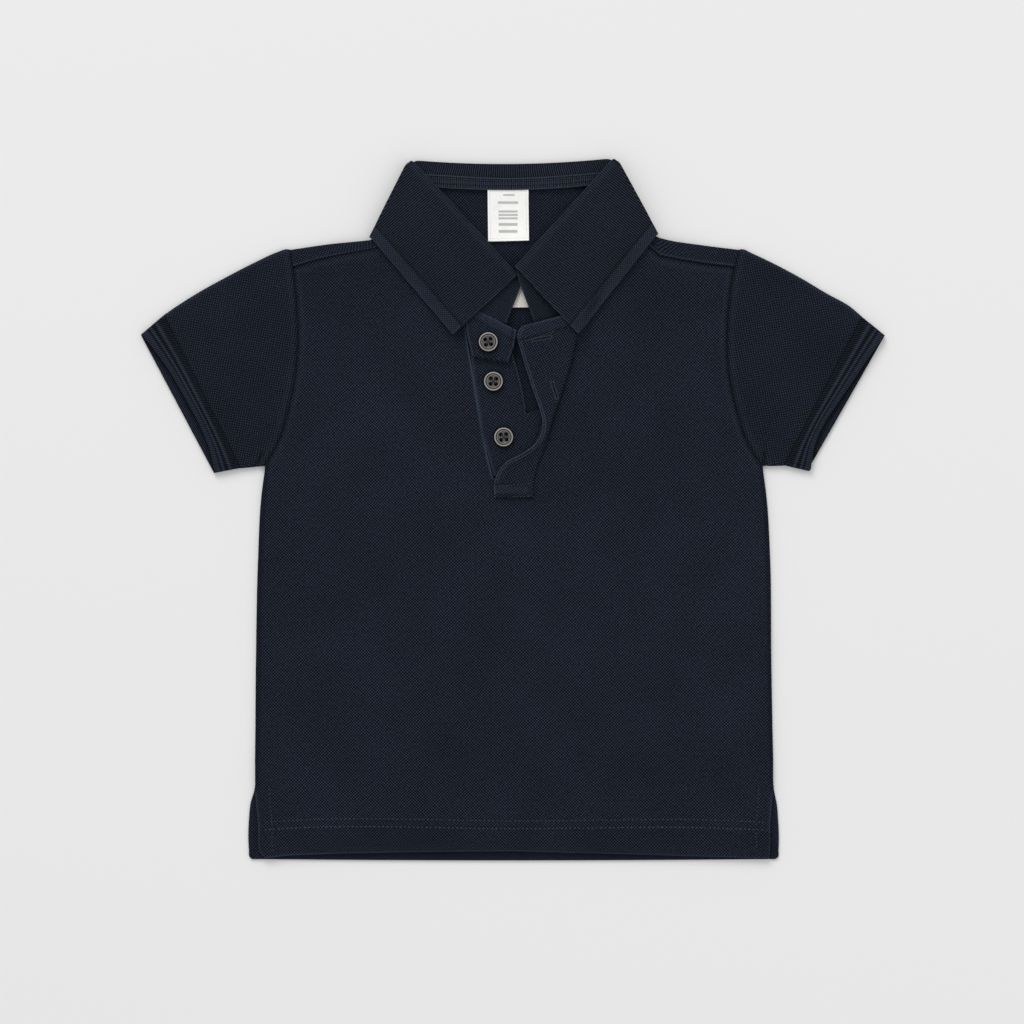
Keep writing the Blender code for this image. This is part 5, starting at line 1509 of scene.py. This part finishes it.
def turned_button(button):
    """A disc whose top is inset ring by ring to the rim, groove and dish, then drilled."""
    base = button_base(button)
    at = Vector((button.x, button.y, base)) * MM
    bpy.ops.object.select_all(action="DESELECT")
    bpy.ops.mesh.primitive_cylinder_add(
        vertices=BUTTON_FACES, radius=BUTTON_RADIUS * MM, depth=BUTTON_WALL * MM,
        location=at + Vector((0.0, 0.0, BUTTON_WALL / 2 * MM)),
    )
    piece = bpy.context.object
    piece.name = button.name + "_horn"
    bpy.ops.object.transform_apply(location=True, rotation=True, scale=True)
    bpy.ops.object.mode_set(mode="EDIT")
    bpy.ops.mesh.select_mode(type="FACE")
    pick_faces(piece, lambda face: face.normal.z > 0.9)
    last = Ring(BUTTON_RADIUS, BUTTON_WALL)
    for ring in BUTTON_RINGS:
        step_in, step_up = last.radius - ring.radius, ring.height - last.height
        bpy.ops.mesh.inset(thickness=step_in * MM, depth=step_up * MM)
        last = ring
    pick_faces(piece, lambda face: face.normal.z < -0.9)
    bpy.ops.mesh.bevel(offset=0.45 * MM, segments=3)
    bpy.ops.object.mode_set(mode="OBJECT")

    bpy.ops.object.select_all(action="DESELECT")
    drills = []
    for quarter in range(4):
        angle = button.turn + math.pi / 4 + quarter * math.pi / 2
        reach = HOLE_OFFSET * math.sqrt(2.0)
        spot = at + Vector((reach * math.cos(angle), reach * math.sin(angle), 0.0)) * MM
        bpy.ops.mesh.primitive_cylinder_add(
            vertices=24, radius=HOLE_RADIUS * MM, depth=8.0 * MM, location=spot,
        )
        drills.append(bpy.context.object)
    for drill in drills:
        drill.select_set(True)
    bpy.ops.object.join()
    cutter = bpy.context.object
    alone(piece)
    holes = piece.modifiers.new("holes", "BOOLEAN")
    holes.operation = "DIFFERENCE"
    holes.solver = "EXACT"
    holes.object = cutter
    bpy.ops.object.modifier_apply(modifier=holes.name)
    bpy.data.objects.remove(cutter)
    round_edges(piece, 0.07, 55.0)
    bpy.ops.object.shade_smooth_by_angle(angle=math.radians(40.0))

    marks = []
    for vertex in piece.data.vertices:
        off = vertex.co / MM - Vector((button.x, button.y, base))
        radius, height = math.hypot(off.x, off.y), off.z
        # The rim's top is paler where rubbed; the groove is darker, and the holes' walls are painted dark
        # as shade.
        rim = hump(radius - 4.56, 0.36) + 0.50 * hump(radius - 3.42, 0.24)
        groove = hump(radius - 3.92, 0.22)
        marks.append(rim * (height > 1.6) - 0.9 * groove - 0.9 * (height < 1.3) * (radius < 3.0))
    mark_points(piece, "worn", marks)
    piece.data.materials.clear()
    piece.data.materials.append(horn)
    return piece


for button in BUTTONS:
    piece = turned_button(button)
    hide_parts(button.name)
    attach(piece, "root")

# ---------------------------------------------------------------------------------------------
# Button thread
# Each button is held by two loops of navy thread through opposite holes, which cross in the
# middle of the dish, with two strands side by side in each loop.

THREAD = 0.16           # radius of a strand
STRANDS = (-0.17, 0.17)
LOOP_RADIUS = 1.75

strands = []
for button in BUTTONS:
    base = button_base(button)
    dish = base + BUTTON_RINGS[-1].height
    for diagonal in (0, 1):
        angle = button.turn + math.pi / 4 + diagonal * math.pi / 2
        along = Vector((math.cos(angle), math.sin(angle), 0.0))
        beside = Vector((-along.y, along.x, 0.0))
        for offset in STRANDS:
            height = dish + THREAD + 0.18 * diagonal - LOOP_RADIUS
            middle = Vector((button.x, button.y, height)) + beside * offset
            bpy.ops.object.select_all(action="DESELECT")
            bpy.ops.mesh.primitive_torus_add(
                major_radius=LOOP_RADIUS * MM, minor_radius=THREAD * MM,
                major_segments=28, minor_segments=8,
                location=middle * MM, rotation=(math.pi / 2, 0.0, angle),
            )
            bpy.ops.object.transform_apply(location=True, rotation=True, scale=True)
            bpy.ops.object.mode_set(mode="EDIT")
            bpy.ops.mesh.select_all(action="SELECT")
            bpy.ops.mesh.bisect(
                plane_co=Vector((button.x, button.y, base + 0.25)) * MM, plane_no=(0.0, 0.0, 1.0),
                clear_inner=True, use_fill=True,
            )
            bpy.ops.object.mode_set(mode="OBJECT")
            strands.append(bpy.context.object)
bpy.ops.object.select_all(action="DESELECT")
for strand in strands:
    strand.select_set(True)
bpy.context.view_layer.objects.active = strands[0]
bpy.ops.object.join()
button_thread = bpy.context.object
button_thread.name = "button_thread"
button_thread.data.materials.clear()
button_thread.data.materials.append(dark_thread)
bpy.ops.object.shade_smooth()
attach(button_thread, "root")

# ---------------------------------------------------------------------------------------------
# Table, lights and camera
# A plain pale table, a large soft light over the far left of the shirt, a weaker one from the
# right and even light all round. The camera looks straight down.

TABLE_SIZE, TABLE_DROP = 6.0, 0.0002    # m; it lies just clear of the cloth
VIEW_WIDTH = 0.5400     # m of table that the frame takes in, at the cloth's level
CLOTH_LEVEL = 0.004
AIM_X, AIM_Y = -0.0003, -0.0016
LENS, SENSOR = 85.0, 36.0

bpy.ops.object.select_all(action="DESELECT")
bpy.ops.mesh.primitive_plane_add(size=TABLE_SIZE, location=(0.0, 0.0, -TABLE_DROP))
table = bpy.context.object
table.name = "table"
paint = {"Base Color": (0.72, 0.72, 0.72), "Roughness": 0.95, "Specular IOR Level": 0.1}
table.data.materials.append(new_finish("pale matt table", paint))


def soft_light(name, at, size, power):
    lamp = bpy.data.lights.new(name, "AREA")
    lamp.size = size
    lamp.energy = power
    holder = bpy.data.objects.new(name, lamp)
    bpy.context.collection.objects.link(holder)
    holder.location = at
    holder.rotation_euler = (-Vector(at)).to_track_quat("-Z", "Y").to_euler()


soft_light("window", (-1.30, 4.20, 3.00), 2.6, 165.0)
soft_light("fill", (0.9, -0.5, 1.5), 1.4, 3.0)

surround = bpy.data.worlds.new("room")
surround.use_nodes = True
sky = {"Color": (1.0, 1.0, 1.0), "Strength": 0.76}
fill(surround.node_tree, surround.node_tree.nodes["Background"], sky)
bpy.context.scene.world = surround
bpy.context.scene.view_settings.view_transform = "Standard"

camera = bpy.data.objects.new("camera", bpy.data.cameras.new("camera"))
bpy.context.collection.objects.link(camera)
camera.data.lens = LENS
camera.data.sensor_width = SENSOR
camera.location = (AIM_X, AIM_Y, VIEW_WIDTH * LENS / SENSOR + CLOTH_LEVEL)
bpy.context.scene.camera = camera
